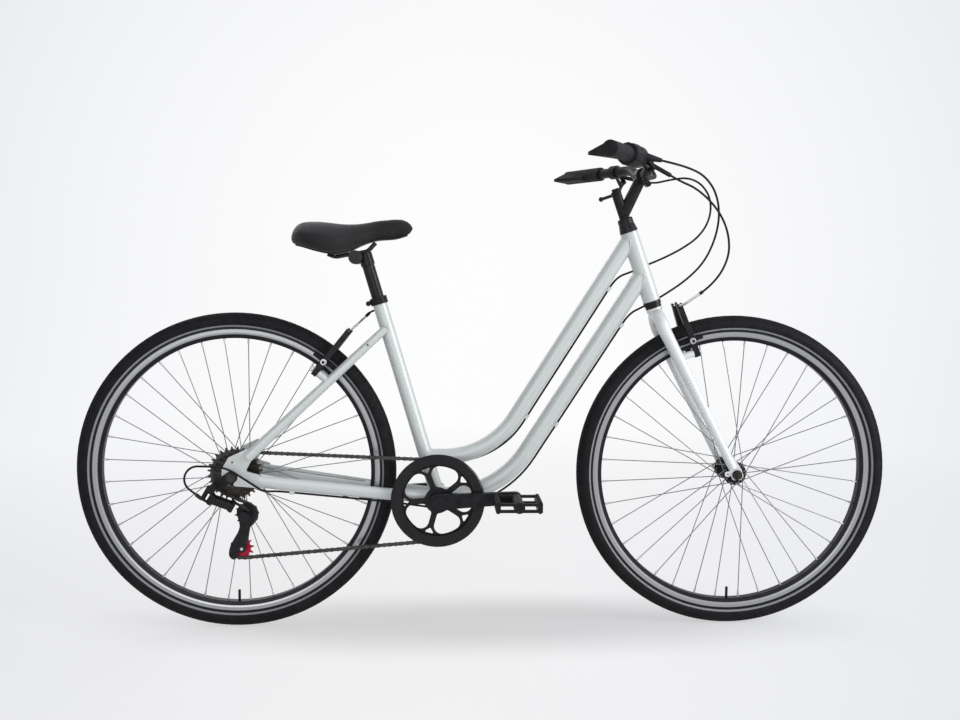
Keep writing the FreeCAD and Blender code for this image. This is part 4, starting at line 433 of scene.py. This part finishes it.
tyre = start("tyre_rubber", (0.010, 0.010, 0.011), rough=0.66)
shader_of(tyre).inputs["Specular IOR Level"].default_value = DULL_SHINE
tyre_along, tyre_up = axle_offsets(tyre)
tyre_distance = axle_distance(tyre, tyre_along, tyre_up)
stripe = ring(tyre, tyre_distance, STRIPE_INNER, STRIPE_OUTER)
rubber = mottled(tyre, (0.006, 0.006, 0.007), (0.013, 0.013, 0.014), scale=45, detail=6, high=0.72)
stripe_tone = two_tone(tyre, speckle(tyre, scale=220), (0.20, 0.205, 0.21), (0.30, 0.305, 0.31))
feed(tyre, two_tone(tyre, stripe, rubber, stripe_tone), "Base Color")
uneven_shine(tyre, scale=260, detail=5, low=0.52, high=0.74)
turn = maths(tyre, "ARCTAN2", tyre_up, tyre_along)
ribs = maths(tyre, "SINE", maths(tyre, "MULTIPLY", turn, CORD_RIBS))
side_wall = between(tyre, tyre_distance, TREAD_START - TREAD_FADE, TREAD_START, 1, 0)
rib_height = maths(tyre, "MULTIPLY", ribs, side_wall)
rubber_height = maths(tyre, "ADD", rib_height, speckle(tyre, scale=600, detail=4))
relief(tyre, rubber_height, depth=0.00012, strength=0.5)
finishes["tyre_rubber"] = tyre
print("tyre ready")

# %% [markdown]
# ## Rubber and plastic
# Grips and cable housings are rubbery, the brake brackets and pedals are moulded plastic with a fine
# spark-eroded texture, the guard round the chainring is glossy, and one pulley is red. Each has noise and
# cells of its own size, because size is what tells one black from another.

# %% Rubbers and plastics
MOULDINGS = {
    "grip_rubber": {"tone": (0.016, 0.016, 0.017), "rough": 0.66, "texture": 420, "depth": 0.0004},
    "tube_rubber": {"tone": (0.010, 0.010, 0.010), "rough": 0.60, "texture": 300, "depth": 0.0001},
    "black_plastic": {"tone": (0.010, 0.010, 0.011), "rough": 0.48, "texture": 900, "depth": 0.0001},
    "guard_plastic": {"tone": (0.006, 0.006, 0.007), "rough": 0.26, "texture": 160, "depth": 0.00003,
                      "coat": 0.25},
    "red_plastic": {"tone": (0.30, 0.010, 0.030), "rough": 0.42, "texture": 700, "depth": 0.0001},
    "cable_housing": {"tone": (0.008, 0.008, 0.009), "rough": 0.40, "texture": 500, "depth": 0.00004,
                      "edge": 0.0},
}


def moulded(name, tone, rough, texture, depth, edge=0.0006, coat=0.0):
    finish = start(name, tone, rough=rough)
    shader_of(finish).inputs["Specular IOR Level"].default_value = DULL_SHINE
    shader_of(finish).inputs["Coat Weight"].default_value = coat
    shader_of(finish).inputs["Coat Roughness"].default_value = 0.06
    worn = toned(tone, gain=1.6, veil=0.003)
    feed(finish, mottled(finish, tone, worn, scale=55, detail=5, low=0.4, high=0.75), "Base Color")
    uneven_shine(finish, scale=texture, detail=4, low=rough - 0.06, high=rough + 0.08)
    relief(finish, cells(finish, texture), depth, strength=0.5, edge=edge)
    return finish


for name, recipe in MOULDINGS.items():
    finishes[name] = moulded(name, **recipe)
print("moulded:", list(MOULDINGS))

# %% [markdown]
# ### The saddle's cover
# The cover is a soft black sheet with the grain of leather. The distance to the edges of cells makes
# pebbles with grooves between them. The grooves are lower and duller than the pebbles, and a little sheen
# softens the look at grazing angles.

# %% Saddle cover material
cover = start("saddle_cover", (0.02, 0.02, 0.021), rough=0.6)
shader_of(cover).inputs["Specular IOR Level"].default_value = DULL_SHINE
shader_of(cover).inputs["Sheen Weight"].default_value = 0.12
pebbles = cells(cover, scale=620, feature="DISTANCE_TO_EDGE")
cover_tone = mottled(cover, (0.012, 0.012, 0.013), (0.021, 0.021, 0.022), scale=22, detail=5, high=0.72)
feed(cover, cover_tone, "Base Color")
feed(cover, between(cover, pebbles, 0.0, 0.25, result_low=0.70, result_high=0.52), "Roughness")
relief(cover, between(cover, pebbles, 0.0, 0.12), depth=0.00018, strength=0.6)
finishes["saddle_cover"] = cover
print("cover finish ready")

# %% [markdown]
# ## Dress the solids
# The record names a finish for every solid. Going through that list once dresses all of them, and a slot
# that has no recipe would stop the script here instead of showing up grey in the picture. The front
# axle's nuts are darker in the photograph than plated steel, so that one solid changes its finish
# afterwards.

# %% Give each solid its finish
def dress(piece, slot):
    """Gives a piece one finish in place of any that it has."""
    piece.data.materials.clear()
    piece.data.materials.append(finishes[slot])


for part in frame["record"]["subparts"]:
    dress(frame["nodes"][part["node"]], part["material_slot"])
dress(frame["nodes"]["front_axle"], "dark_steel")

# %% [markdown]
# ## The saddle cushion
# A real saddle is foam under a stretched cover, pulled down over the edge of a stiff shell. The solid has
# the outline, but foam under tension is rounder. A cloth simulation gives that: the skin starts a little
# small, air pressure fills it, and the points on the shell are held. How far a point may travel is
# capped. Then the held points go down onto the shell again, from where the shrinking had lifted them, and
# the cushion gets the length and width of its solid.

# %% Make the skin
SHRINK = 0.0015
SKIN_CELL = 0.0045
RELAX_SHARE = 0.5


def skin_from(solid, name):
    """A new mesh of even quads in the shape of a solid, a little smaller."""
    skin = add_object(name, solid.data.copy())
    skin.data.materials.clear()
    remesh = skin.modifiers.new("even quads", "REMESH")
    remesh.mode = "VOXEL"
    remesh.voxel_size = SKIN_CELL
    graph = bpy.context.evaluated_depsgraph_get()
    even = bpy.data.meshes.new_from_object(skin.evaluated_get(graph))
    skin.modifiers.clear()
    skin.data = even
    for vertex in even.vertices:
        vertex.co -= vertex.normal * SHRINK
    return skin


def relax(skin, rounds):
    """Evens out the steps that a remesh leaves."""
    form = bmesh.new()
    form.from_mesh(skin.data)
    for _ in range(rounds):
        bmesh.ops.smooth_vert(form, verts=form.verts, factor=RELAX_SHARE,
                              use_axis_x=True, use_axis_y=True, use_axis_z=True)
    form.to_mesh(skin.data)
    form.free()


cushion = skin_from(frame["nodes"]["saddle_cover"], "saddle_cushion")
relax(cushion, rounds=4)
print("cushion skin:", len(cushion.data.vertices), "points")

# %% Simulate the stretched cover
TRAVEL = 0.0035
AIR_PRESSURE = 4
CLOTH_FRAMES = 20
FACES_DOWN = -0.75
SHELL_DROP = 0.002


def inflate(skin, pinned):
    """Cloth under air pressure, stopped after a few frames, with each point's travel capped."""
    rest = [vertex.co.copy() for vertex in skin.data.vertices]
    held = skin.vertex_groups.new(name="held")
    held.add(pinned, 1.0, "REPLACE")
    cloth = skin.modifiers.new("stretch", "CLOTH")
    cloth.settings.vertex_group_mass = "held"
    cloth.settings.use_pressure = True
    cloth.settings.uniform_pressure_force = AIR_PRESSURE
    cloth.settings.effector_weights.gravity = 0
    cloth.point_cache.frame_end = CLOTH_FRAMES
    for number in range(1, CLOTH_FRAMES + 1):
        scene.frame_set(number)
    graph = bpy.context.evaluated_depsgraph_get()
    filled = [vertex.co.copy() for vertex in skin.evaluated_get(graph).data.vertices]
    skin.modifiers.clear()
    scene.frame_set(1)
    for vertex, before, after in zip(skin.data.vertices, rest, filled):
        move = after - before
        if move.length > TRAVEL:
            move = move.normalized() * TRAVEL
        vertex.co = before + move


shell_side = [vertex.index for vertex in cushion.data.vertices if vertex.normal.z < FACES_DOWN]
inflate(cushion, shell_side)
relax(cushion, rounds=3)
for index in shell_side:
    cushion.data.vertices[index].co.z -= SHELL_DROP
print("held by the shell:", len(shell_side))

# %% Fit and finish the cushion
def match_span(skin, low, high, axis):
    """Stretches a skin along one axis to the span of its solid."""
    places = [vertex.co[axis] for vertex in skin.data.vertices]
    least = min(places)
    share = (high[axis] - low[axis]) / (max(places) - least)
    for vertex in skin.data.vertices:
        vertex.co[axis] = low[axis] + (vertex.co[axis] - least) * share


def shade_smooth(piece):
    for face in piece.data.polygons:
        face.use_smooth = True


cover_low, cover_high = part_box("saddle_cover")
for axis in (0, 1):
    match_span(cushion, cover_low, cover_high, axis)
smooth = cushion.modifiers.new("smooth", "SUBSURF")
smooth.levels = 1
smooth.render_levels = 1
shade_smooth(cushion)
dress(cushion, "saddle_cover")
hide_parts("saddle_cover")
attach(cushion, "saddle")
print("cushion faces:", len(cushion.data.polygons))

# %% [markdown]
# ## Tread
# A tyre for town use has a shallow tread: rows of small blocks with channels between them. The solid tyre
# is a smooth ring, so the blocks are added as thin tiles that sit on it. Each row lies at its own angle
# round the tyre's section, and every second row is turned half a step, as on a mould. One mesh per wheel
# is enough.

# %% One tread block
SECTION_CENTRE = 0.3305
SECTION_RADIUS = 0.0185
BLOCK_HEIGHT = 0.0008
BLOCK_SINK = 0.0004
BLOCK_TOP = 0.86
ROW_HALF = math.radians(8.2)


def on_tyre(axle, turn, tilt, lift):
    """Point over the tyre: a turn round the axle, a tilt round the section and a lift off the rubber."""
    radius = SECTION_RADIUS + lift
    reach = SECTION_CENTRE + radius * math.cos(tilt)
    return axle + Vector((reach * math.cos(turn), radius * math.sin(tilt), reach * math.sin(turn)))


def tread_block(axle, turn, tilt, half_turn, skew):
    """Eight corners: four in the rubber and four on top, drawn in a little."""
    corners = []
    for lift, share in ((-BLOCK_SINK, 1.0), (BLOCK_HEIGHT, BLOCK_TOP)):
        for across, along in ((-1, -1), (1, -1), (1, 1), (-1, 1)):
            slide = along * half_turn + skew * across * half_turn
            corner_tilt = tilt + across * ROW_HALF * share
            corners.append(on_tyre(axle, turn + slide * share, corner_tilt, lift))
    return corners


print("tread block ready")

# %% Tread of both wheels
BLOCKS_ROUND = 116
TREAD_ROWS = (-52, -31, -10.5, 10.5, 31, 52)
BLOCK_SHARE = 0.39
BLOCK_SKEW = 0.64


def tread(name, axle):
    """All the blocks of a tyre; their undersides lie in the rubber, so they have none."""
    points = []
    faces = []
    step = 2 * math.pi / BLOCKS_ROUND
    for row, tilt in enumerate(TREAD_ROWS):
        skew = math.copysign(BLOCK_SKEW, tilt)
        for number in range(BLOCKS_ROUND):
            turn = (number + 0.5 * (row % 2)) * step
            base = len(points)
            points += tread_block(axle, turn, math.radians(tilt), step * BLOCK_SHARE, skew)
            faces.append([base + 4, base + 5, base + 6, base + 7])
            for corner in range(4):
                following = (corner + 1) % 4
                faces.append([base + corner, base + following, base + 4 + following, base + 4 + corner])
    mesh = bpy.data.meshes.new(name)
    mesh.from_pydata(points, [], faces)
    blocks = add_object(name, mesh)
    dress(blocks, "tyre_rubber")
    return blocks


for end, sign in (("front", 1), ("rear", -1)):
    blocks = tread(end + "_tread", Vector((sign * AXLE_AHEAD, 0, AXLE_HEIGHT)))
    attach(blocks, end + "_wheel")
    print(blocks.name, len(blocks.data.polygons), "faces")

# %% [markdown]
# ## Weld beads
# The frame's tubes are welded, and the bead between two tubes is what makes a frame look joined instead
# of pushed together. Each bead follows the line where one tube's end meets the other tube. That line is
# already in the solids: it is made of the sharp edges of the first tube that lie on the second one. A
# round bead is drawn along it, with its thickness rising and falling as a welder's steps do.

# %% Find the lines where tubes meet
SAME_POINT = 0.00002
SEAM_REACH = 0.0005
SHARP_ANGLE = 0.35


def form_of(node):
    """An editable copy of a solid's mesh."""
    form = bmesh.new()
    form.from_mesh(frame["nodes"][node].data)
    return form


def surface_tree(node):
    """A search tree that finds the nearest spot on a solid."""
    form = form_of(node)
    tree = BVHTree.FromBMesh(form)
    form.free()
    return tree


def seam_loops(node, other):
    """Closed chains of the node's sharp edges that lie on the other node."""
    tree = surface_tree(other)
    form = form_of(node)
    bmesh.ops.remove_doubles(form, verts=form.verts, dist=SAME_POINT)
    beside = {}
    for edge in form.edges:
        if len(edge.link_faces) == 2 and edge.calc_face_angle(0) > SHARP_ANGLE:
            if all(tree.find_nearest(vert.co)[3] < SEAM_REACH for vert in edge.verts):
                first, second = edge.verts
                beside.setdefault(first, []).append(second)
                beside.setdefault(second, []).append(first)
    loops = []
    while beside:
        vert = next(iter(beside))
        chain = []
        while vert is not None:
            chain.append(vert.co.copy())
            following = beside.pop(vert)
            vert = next((near for near in following if near in beside), None)
        loops.append(chain)
    form.free()
    return loops


def steps_round(points):
    """Each point of a closed line with the one after it."""
    return zip(points, points[1:] + points[:1])


def loop_length(points):
    return sum((here - there).length for here, there in steps_round(points))


print("seam tools ready")

# %% Curve helpers
def round_bar(name, radius, roundness):
    """An empty curve whose lines will be round bars."""
    curve = bpy.data.curves.new(name, "CURVE")
    curve.dimensions = "3D"
    curve.bevel_depth = radius
    curve.bevel_resolution = roundness
    return curve


def piece_from_curve(name, curve, slot):
    """A mesh piece in the shape of a curve; the curve's own object goes away again."""
    drawn = add_object(name, curve)
    graph = bpy.context.evaluated_depsgraph_get()
    mesh = bpy.data.meshes.new_from_object(drawn.evaluated_get(graph))
    bpy.data.objects.remove(drawn)
    piece = add_object(name, mesh)
    dress(piece, slot)
    return piece


print("curve helpers ready")

# %% Draw the beads
BEAD_RADIUS = 0.0021
BEAD_ROUNDNESS = 3
BEAD_STEP = 0.0026
BEAD_WAIST = 0.9
SHORTEST_SEAM = 0.045
JOINTS = (("upper_main_tube", "head_tube"), ("lower_main_tube", "head_tube"),
          ("upper_main_tube", "seat_tube"), ("lower_main_tube", "bottom_bracket_shell"),
          ("seat_tube", "bottom_bracket_shell"), ("chain_stays", "bottom_bracket_shell"),
          ("seat_stays", "seat_tube"))


def even_loop(points):
    """The same closed line with points at even steps."""
    total = loop_length(points)
    count = round(total / BEAD_STEP)
    spacing = total / count
    result = []
    travelled = 0.0
    for here, there in steps_round(points):
        length = (there - here).length
        while len(result) < count and len(result) * spacing <= travelled + length:
            share = (len(result) * spacing - travelled) / length
            result.append(here.lerp(there, share))
        travelled += length
    return result


def bead(name, loops):
    """Round beads along closed lines, thicker at every second point."""
    curve = round_bar(name, BEAD_RADIUS, BEAD_ROUNDNESS)
    for points in loops:
        line = curve.splines.new("POLY")
        line.use_cyclic_u = True
        line.points.add(len(points) - 1)
        for index, point in enumerate(points):
            line.points[index].co = (*point, 1)
            line.points[index].radius = 1.0 if index % 2 else BEAD_WAIST
    piece = piece_from_curve(name, curve, "frame_paint")
    shade_smooth(piece)
    return piece


for node, other in JOINTS:
    loops = [points for points in seam_loops(node, other) if loop_length(points) > SHORTEST_SEAM]
    piece = bead(node + "_to_" + other, [even_loop(points) for points in loops])
    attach(piece, "frame")
    print(piece.name, [round(loop_length(points) * 1000) for points in loops], "mm")

# %% [markdown]
# ## Brake noodles
# A brake's housing can't turn sharply enough to reach the arm, so a bent metal pipe takes the cable round
# the last corner. The pipe is a plated tube over the cable: a straight run, about a quarter turn and a
# short straight end that rests in the arm's cradle. A collar marks where the housing goes in.

# %% Pipe helpers
TURN_STEPS = 14
PIPE_ROUNDNESS = 5


def rounded_corner(before, corner, after, radius):
    """Points of a line that turns a corner along an arc."""
    inward = (before - corner).normalized()
    outward = (after - corner).normalized()
    half = inward.angle(outward) / 2
    trim = radius / math.tan(half)
    middle = corner + (inward + outward).normalized() * (radius / math.sin(half))
    first = corner + inward * trim - middle
    last = corner + outward * trim - middle
    sweep = first.angle(last)
    arc = []
    for number in range(TURN_STEPS + 1):
        share = number / TURN_STEPS
        spoke = first * math.sin((1 - share) * sweep) + last * math.sin(share * sweep)
        arc.append(middle + spoke / math.sin(sweep))
    return [before] + arc + [after]


def pipe(name, points, radius, slot):
    """A round pipe along points, with closed ends."""
    curve = round_bar(name, radius, PIPE_ROUNDNESS)
    curve.use_fill_caps = True
    line = curve.splines.new("POLY")
    line.points.add(len(points) - 1)
    for target, point in zip(line.points, points):
        target.co = (*point, 1)
    piece = piece_from_curve(name, curve, slot)
    shade_smooth(piece)
    return piece


print("pipe helpers ready")

# %% Bent pipes over the brake cables
NOODLE_RADIUS = 0.020
PIPE_RADIUS = 0.0029
COLLAR_RADIUS = 0.0037
PIPE_SHARE = 0.78
COLLAR_SHARE = 0.16
NOODLES = {
    "front": ("steering", Vector((0.472, -0.067, 0.761)), Vector((0.4200, -0.056, 0.7218)), -0.0302),
    "rear": ("frame", Vector((-0.2515, 0.026, 0.7086)), Vector((-0.3058, 0.064, 0.6589)), 0.0302),
}

for end, (body, arrival, corner, cradle) in NOODLES.items():
    entry = corner.lerp(arrival, PIPE_SHARE)
    way = rounded_corner(entry, corner, Vector((corner.x, cradle, corner.z)), NOODLE_RADIUS)
    noodle = pipe(end + "_noodle", way, PIPE_RADIUS, "bright_steel")
    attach(noodle, body)
    collar_way = [entry, entry.lerp(corner, COLLAR_SHARE)]
    collar = pipe(end + "_noodle_collar", collar_way, COLLAR_RADIUS, "black_metal")
    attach(collar, body)
    print(noodle.name, "on", body)

# %% [markdown]
# ## Pad nuts
# Each brake pad's post ends in a nut outside its arm, and the nuts are the bright dots that the eye finds
# first. A washer and a six-sided nut, each a prism with broken edges, are enough. A thread would never be
# seen.

# %% Pad nuts
NUT_SIDES = 6
NUT_RADIUS = 0.0052
NUT_HEIGHT = 0.0042
WASHER_SIDES = 28
WASHER_RADIUS = 0.0068
WASHER_HEIGHT = 0.0014
NUT_STACK = ((WASHER_SIDES, WASHER_RADIUS, WASHER_HEIGHT), (NUT_SIDES, NUT_RADIUS, NUT_HEIGHT))
BROKEN_EDGE = 0.12
ARM_FACE = 0.0443
PAD_SPOTS = {"front": Vector((0.4475, 0, 0.6441)), "rear": Vector((-0.3571, 0, 0.5944))}


def turned_stack(name, foot, heading, stack, slot):
    """A washer, nut or bolt head: prisms of so many sides set on each other, each with its edges broken."""
    form = bmesh.new()
    facing = heading.to_track_quat("Z", "Y").to_matrix().to_4x4()
    reached = 0.0
    for sides, radius, height in stack:
        middle = Matrix.Translation(foot + heading * (reached + height / 2)) @ facing
        made = bmesh.ops.create_cone(form, cap_ends=True, segments=sides, radius1=radius, radius2=radius,
                                     depth=height, matrix=middle)
        edges = {edge for vert in made["verts"] for edge in vert.link_edges}
        bmesh.ops.bevel(form, geom=list(edges), offset=height * BROKEN_EDGE, segments=2, affect="EDGES")
        reached += height
    mesh = bpy.data.meshes.new(name)
    form.to_mesh(mesh)
    form.free()
    piece = add_object(name, mesh)
    dress(piece, slot)
    return piece


for end, spot in PAD_SPOTS.items():
    for side, sign in (("left", 1), ("right", -1)):
        outward = Vector((0, sign, 0))
        nut = turned_stack(f"{end}_pad_nut_{side}", spot + outward * ARM_FACE, outward, NUT_STACK,
                           "bright_steel")
        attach(nut, f"{end}_brake_arm_{side}")
        print(nut.name, len(nut.data.polygons), "faces")

# %% [markdown]
# ## The derailleur's cage
# In the photograph the cage is a curved plate: wide round the upper pulley, narrow in the middle and
# swept back round the lower one. Its solid is a straight plate, so the curved outline is added in the
# same layer. A filled curve with a hole for the pivot gives smooth edges from a few points, and a bolt
# head marks the lower pulley.

# %% Outline of the cage plate
PIN_HOLE = 0.0042
PIN_CORNERS = 6
LOWER_SWEEP = ((0.015, 0.040), (0.010, 0.022), (-0.004, 0.010), (-0.010, -0.004), (-0.007, -0.018),
               (-0.018, -0.026), (-0.029, -0.016), (-0.026, 0.004), (-0.018, 0.020), (-0.008, 0.036),
               (-0.003, 0.050))
UPPER_LOBE = ((-0.016, -0.012), (-0.022, 0.006), (-0.014, 0.022), (0.004, 0.027), (0.020, 0.019),
              (0.026, 0.000), (0.014, -0.018))


def centre_of(node):
    low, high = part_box(node)
    return (low + high) / 2


def seen_from(middle, offsets):
    """Offsets forward and upwards from a pulley's middle, as points."""
    return [(middle.x + forward, middle.z + up) for forward, up in offsets]


lower_pulley = centre_of("tension_pulley")
upper_pulley = centre_of("guide_pulley")
plate_outline = seen_from(lower_pulley, LOWER_SWEEP) + seen_from(upper_pulley, UPPER_LOBE)
hole_turns = [math.radians(360 * number / PIN_CORNERS) for number in range(PIN_CORNERS)]
hole_offsets = [(PIN_HOLE * math.cos(turn), PIN_HOLE * math.sin(turn)) for turn in hole_turns]
hole_outline = seen_from(upper_pulley, hole_offsets)
print("plate outline:", len(plate_outline), "points")

# %% Curved cage plate
PLATE_OUTER = -0.0453
PLATE_THICKNESS = 0.0018
BOLT_SIDES = 20
BOLT_RADIUS = 0.0034
BOLT_HEIGHT = 0.0018
BOLT_STACK = ((BOLT_SIDES, BOLT_RADIUS, BOLT_HEIGHT),)


def closed_line(curve, points):
    """One smooth closed line of a flat curve."""
    line = curve.splines.new("NURBS")
    line.points.add(len(points) - 1)
    for target, (forward, up) in zip(line.points, points):
        target.co = (forward, up, 0, 1)
    line.use_cyclic_u = True
    line.order_u = 3
    line.resolution_u = 6


cage_curve = bpy.data.curves.new("cage_plate", "CURVE")
cage_curve.dimensions = "2D"
cage_curve.fill_mode = "BOTH"
cage_curve.extrude = PLATE_THICKNESS / 2
closed_line(cage_curve, plate_outline)
closed_line(cage_curve, hole_outline)
cage_plate = piece_from_curve("cage_plate", cage_curve, "black_metal")
upright = Matrix.Rotation(math.radians(90), 4, "X")
cage_plate.data.transform(Matrix.Translation((0, PLATE_OUTER + PLATE_THICKNESS / 2, 0)) @ upright)
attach(cage_plate, "derailleur_cage")
bolt_foot = Vector((lower_pulley.x, PLATE_OUTER, lower_pulley.z))
cage_bolt = turned_stack("cage_bolt", bolt_foot, Vector((0, -1, 0)), BOLT_STACK, "bright_steel")
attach(cage_bolt, "derailleur_cage")
print("cage plate:", len(cage_plate.data.polygons), "faces")

# %% [markdown]
# ## Cables that cross the steering
# The rear brake's cable and the shift cable start on the bar and end on the frame, so they bend when the
# bar turns. A solid can follow only one of the two. Here a copy of each cable's mesh stands in for its
# solid and rides with the frame.

# %% Copies of the cables
def bending_cable(node):
    """A copy of a cable, attached to the frame, that stands in for its solid."""
    cable = add_object(node + "_bending", frame["nodes"][node].data.copy())
    dress(cable, "cable_housing")
    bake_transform(cable)
    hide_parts(node)
    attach(cable, "frame")
    return cable


rear_cable = bending_cable("rear_brake_cable")
shift_cable = bending_cable("shift_cable")
print("bending cables:", rear_cable.name, shift_cable.name)

# %% [markdown]
# ## The glow behind
# The photograph has a pale studio behind the bicycle, white in the middle and greyer towards the corners.
# A painted wall would show its edges from other sides. Here the world itself glows on the far side of the
# bicycle, and its tone depends only on how far a direction turns away from the middle of that glow.

# %% Glow
GLOW_MIDDLE = (0.985, 0.985, 0.988)
GLOW_CORNER = (0.765, 0.78, 0.825)
GLOW_EDGE = math.cos(math.radians(34.5))
GLOW_HEADING = Vector((0.045, 1, 0)).normalized()


def vectors(material, operation, first, second=None):
    """One sum of vectors; the second is a fixed one."""
    node = add(material, "ShaderNodeVectorMath", operation=operation)
    wire(material, first, node.inputs[0])
    if second is not None:
        node.inputs[1].default_value = second
    return node


def glow_tone(material, heading):
    """White towards the glow and greyer away from it."""
    share = vectors(material, "DOT_PRODUCT", heading, GLOW_HEADING).outputs["Value"]
    return two_tone(material, between(material, share, GLOW_EDGE, 1.0), GLOW_CORNER, GLOW_MIDDLE)


def seen_directly(material):
    """One for rays from the camera, and for reflected and refracted ones."""
    path = add(material, "ShaderNodeLightPath")
    mirrored = maths(material, "MAXIMUM", path.outputs["Is Glossy Ray"], path.outputs["Is Transmission Ray"])
    return maths(material, "MAXIMUM", path.outputs["Is Camera Ray"], mirrored)


print("glow ready")

# %% [markdown]
# ## The floor
# A studio's floor runs up into its backdrop without a line, and one soft shadow lies on it under the
# bicycle: the lamps cast part of it and the rest is painted. The floor is tinted by a fan of the glow's
# tones that opens towards the far side, so no horizon shows where they meet. Only what the camera and the
# reflections see is lifted to that tone: the light on the bicycle itself stays plain. The painted shadow is
# a long, soft patch under the wheels, softer than these lamps cast.

# %% Floor
FLOOR_RADIUS = 150
FLOOR_SIDES = 96
FLOOR_DROP = 0.001
FAN_START = Vector((-0.25, -2.25, 0))
FADE_START = 0.8
FADE_END = 3.0
LIFT_NEAR = 0.72

bpy.ops.mesh.primitive_circle_add(vertices=FLOOR_SIDES, radius=FLOOR_RADIUS, fill_type="NGON",
                                  location=(0, 0, -FLOOR_DROP))
floor = bpy.context.object
floor.name = "studio_floor"
floor_finish = start("studio_floor", (0.82, 0.82, 0.84), rough=0.9)
floor_place = place_of(floor_finish)
along_fan = vectors(floor_finish, "SUBTRACT", floor_place, FAN_START).outputs["Vector"]
heading = vectors(floor_finish, "NORMALIZE", along_fan).outputs["Vector"]
spread = vectors(floor_finish, "LENGTH", floor_place).outputs["Value"]
far = between(floor_finish, spread, FADE_START, FADE_END, LIFT_NEAR, 1.0)
lift = maths(floor_finish, "MULTIPLY", far, seen_directly(floor_finish))
print("floor radius:", FLOOR_RADIUS, "m")

# %% Shade and tone of the floor
SHADE_LENGTH = 0.92
SHADE_WIDTH = 0.23
SHADE_DEPTH = 0.32
SHADE_CORE = 0.2
SHADE_RIM = 1.1

# A painted shadow: the floor's glow is darker in a long, soft patch under the wheels.
squash = (1 / SHADE_LENGTH, 1 / SHADE_WIDTH, 0)
squashed = vectors(floor_finish, "MULTIPLY", floor_place, squash).outputs["Vector"]
shade_ramp = add(floor_finish, "ShaderNodeMapRange", interpolation_type="SMOOTHSTEP",
                 From_Min=SHADE_CORE, From_Max=SHADE_RIM, To_Min=1 - SHADE_DEPTH, To_Max=1.0)
wire(floor_finish, vectors(floor_finish, "LENGTH", squashed).outputs["Value"], shade_ramp.inputs["Value"])
glow = add(floor_finish, "ShaderNodeEmission")
wire(floor_finish, glow_tone(floor_finish, heading), glow.inputs["Color"])
wire(floor_finish, shade_ramp.outputs["Result"], glow.inputs["Strength"])
lifted = add(floor_finish, "ShaderNodeMixShader")
for socket, source in zip(lifted.inputs, (lift, shader_of(floor_finish).outputs[0], glow.outputs[0])):
    wire(floor_finish, source, socket)
wire(floor_finish, lifted.outputs[0], floor_finish.node_tree.nodes["Material Output"].inputs["Surface"])
floor_finish.cycles.emission_sampling = "NONE"
floor.data.materials.append(floor_finish)
print("shade:", SHADE_LENGTH, "by", SHADE_WIDTH, "m")

# %% [markdown]
# ## The light
# The soft edges in the photograph come from large lamps: a strong one ahead of the bicycle, a weaker one
# beside it, one above and one behind. Rectangles of light do that. The world gives the rest, and it is
# dimmer as a lamp than it looks, so that the shapes keep their shading.

# %% World and lamps
AMBIENT = 0.42

world = bpy.data.worlds.new("studio")
world.use_nodes = True
scene.world = world
sky = world.node_tree.nodes["Background"]
sky_heading = add(world, "ShaderNodeTexCoord").outputs["Generated"]
wire(world, glow_tone(world, sky_heading), sky.inputs["Color"])
wire(world, between(world, seen_directly(world), 0, 1, AMBIENT, 1.0), sky.inputs["Strength"])


def softbox(name, spot, aim, width, height, power):
    """A large area lamp that looks at a point."""
    lamp = bpy.data.lights.new(name, "AREA")
    lamp.shape = "RECTANGLE"
    lamp.size = width
    lamp.size_y = height
    lamp.energy = power
    box = add_object(name, lamp)
    box.location = spot
    box.rotation_euler = (Vector(aim) - Vector(spot)).to_track_quat("-Z", "Y").to_euler()


softbox("key_softbox", spot=(3.4, -1.6, 1.7), aim=(0.2, 0, 0.6), width=2.2, height=2.2, power=105)
softbox("fill_softbox", spot=(-0.8, -3.8, 1.5), aim=(0, 0, 0.6), width=3.0, height=2.0, power=36)
softbox("top_softbox", spot=(0, -0.2, 3.2), aim=(0, 0, 0.3), width=3.4, height=2.2, power=12)
softbox("rear_softbox", spot=(-1.6, 3.0, 2.4), aim=(0, 0, 0.6), width=2.4, height=1.6, power=25)
print("lamps:", [lamp.name for lamp in bpy.data.lights])
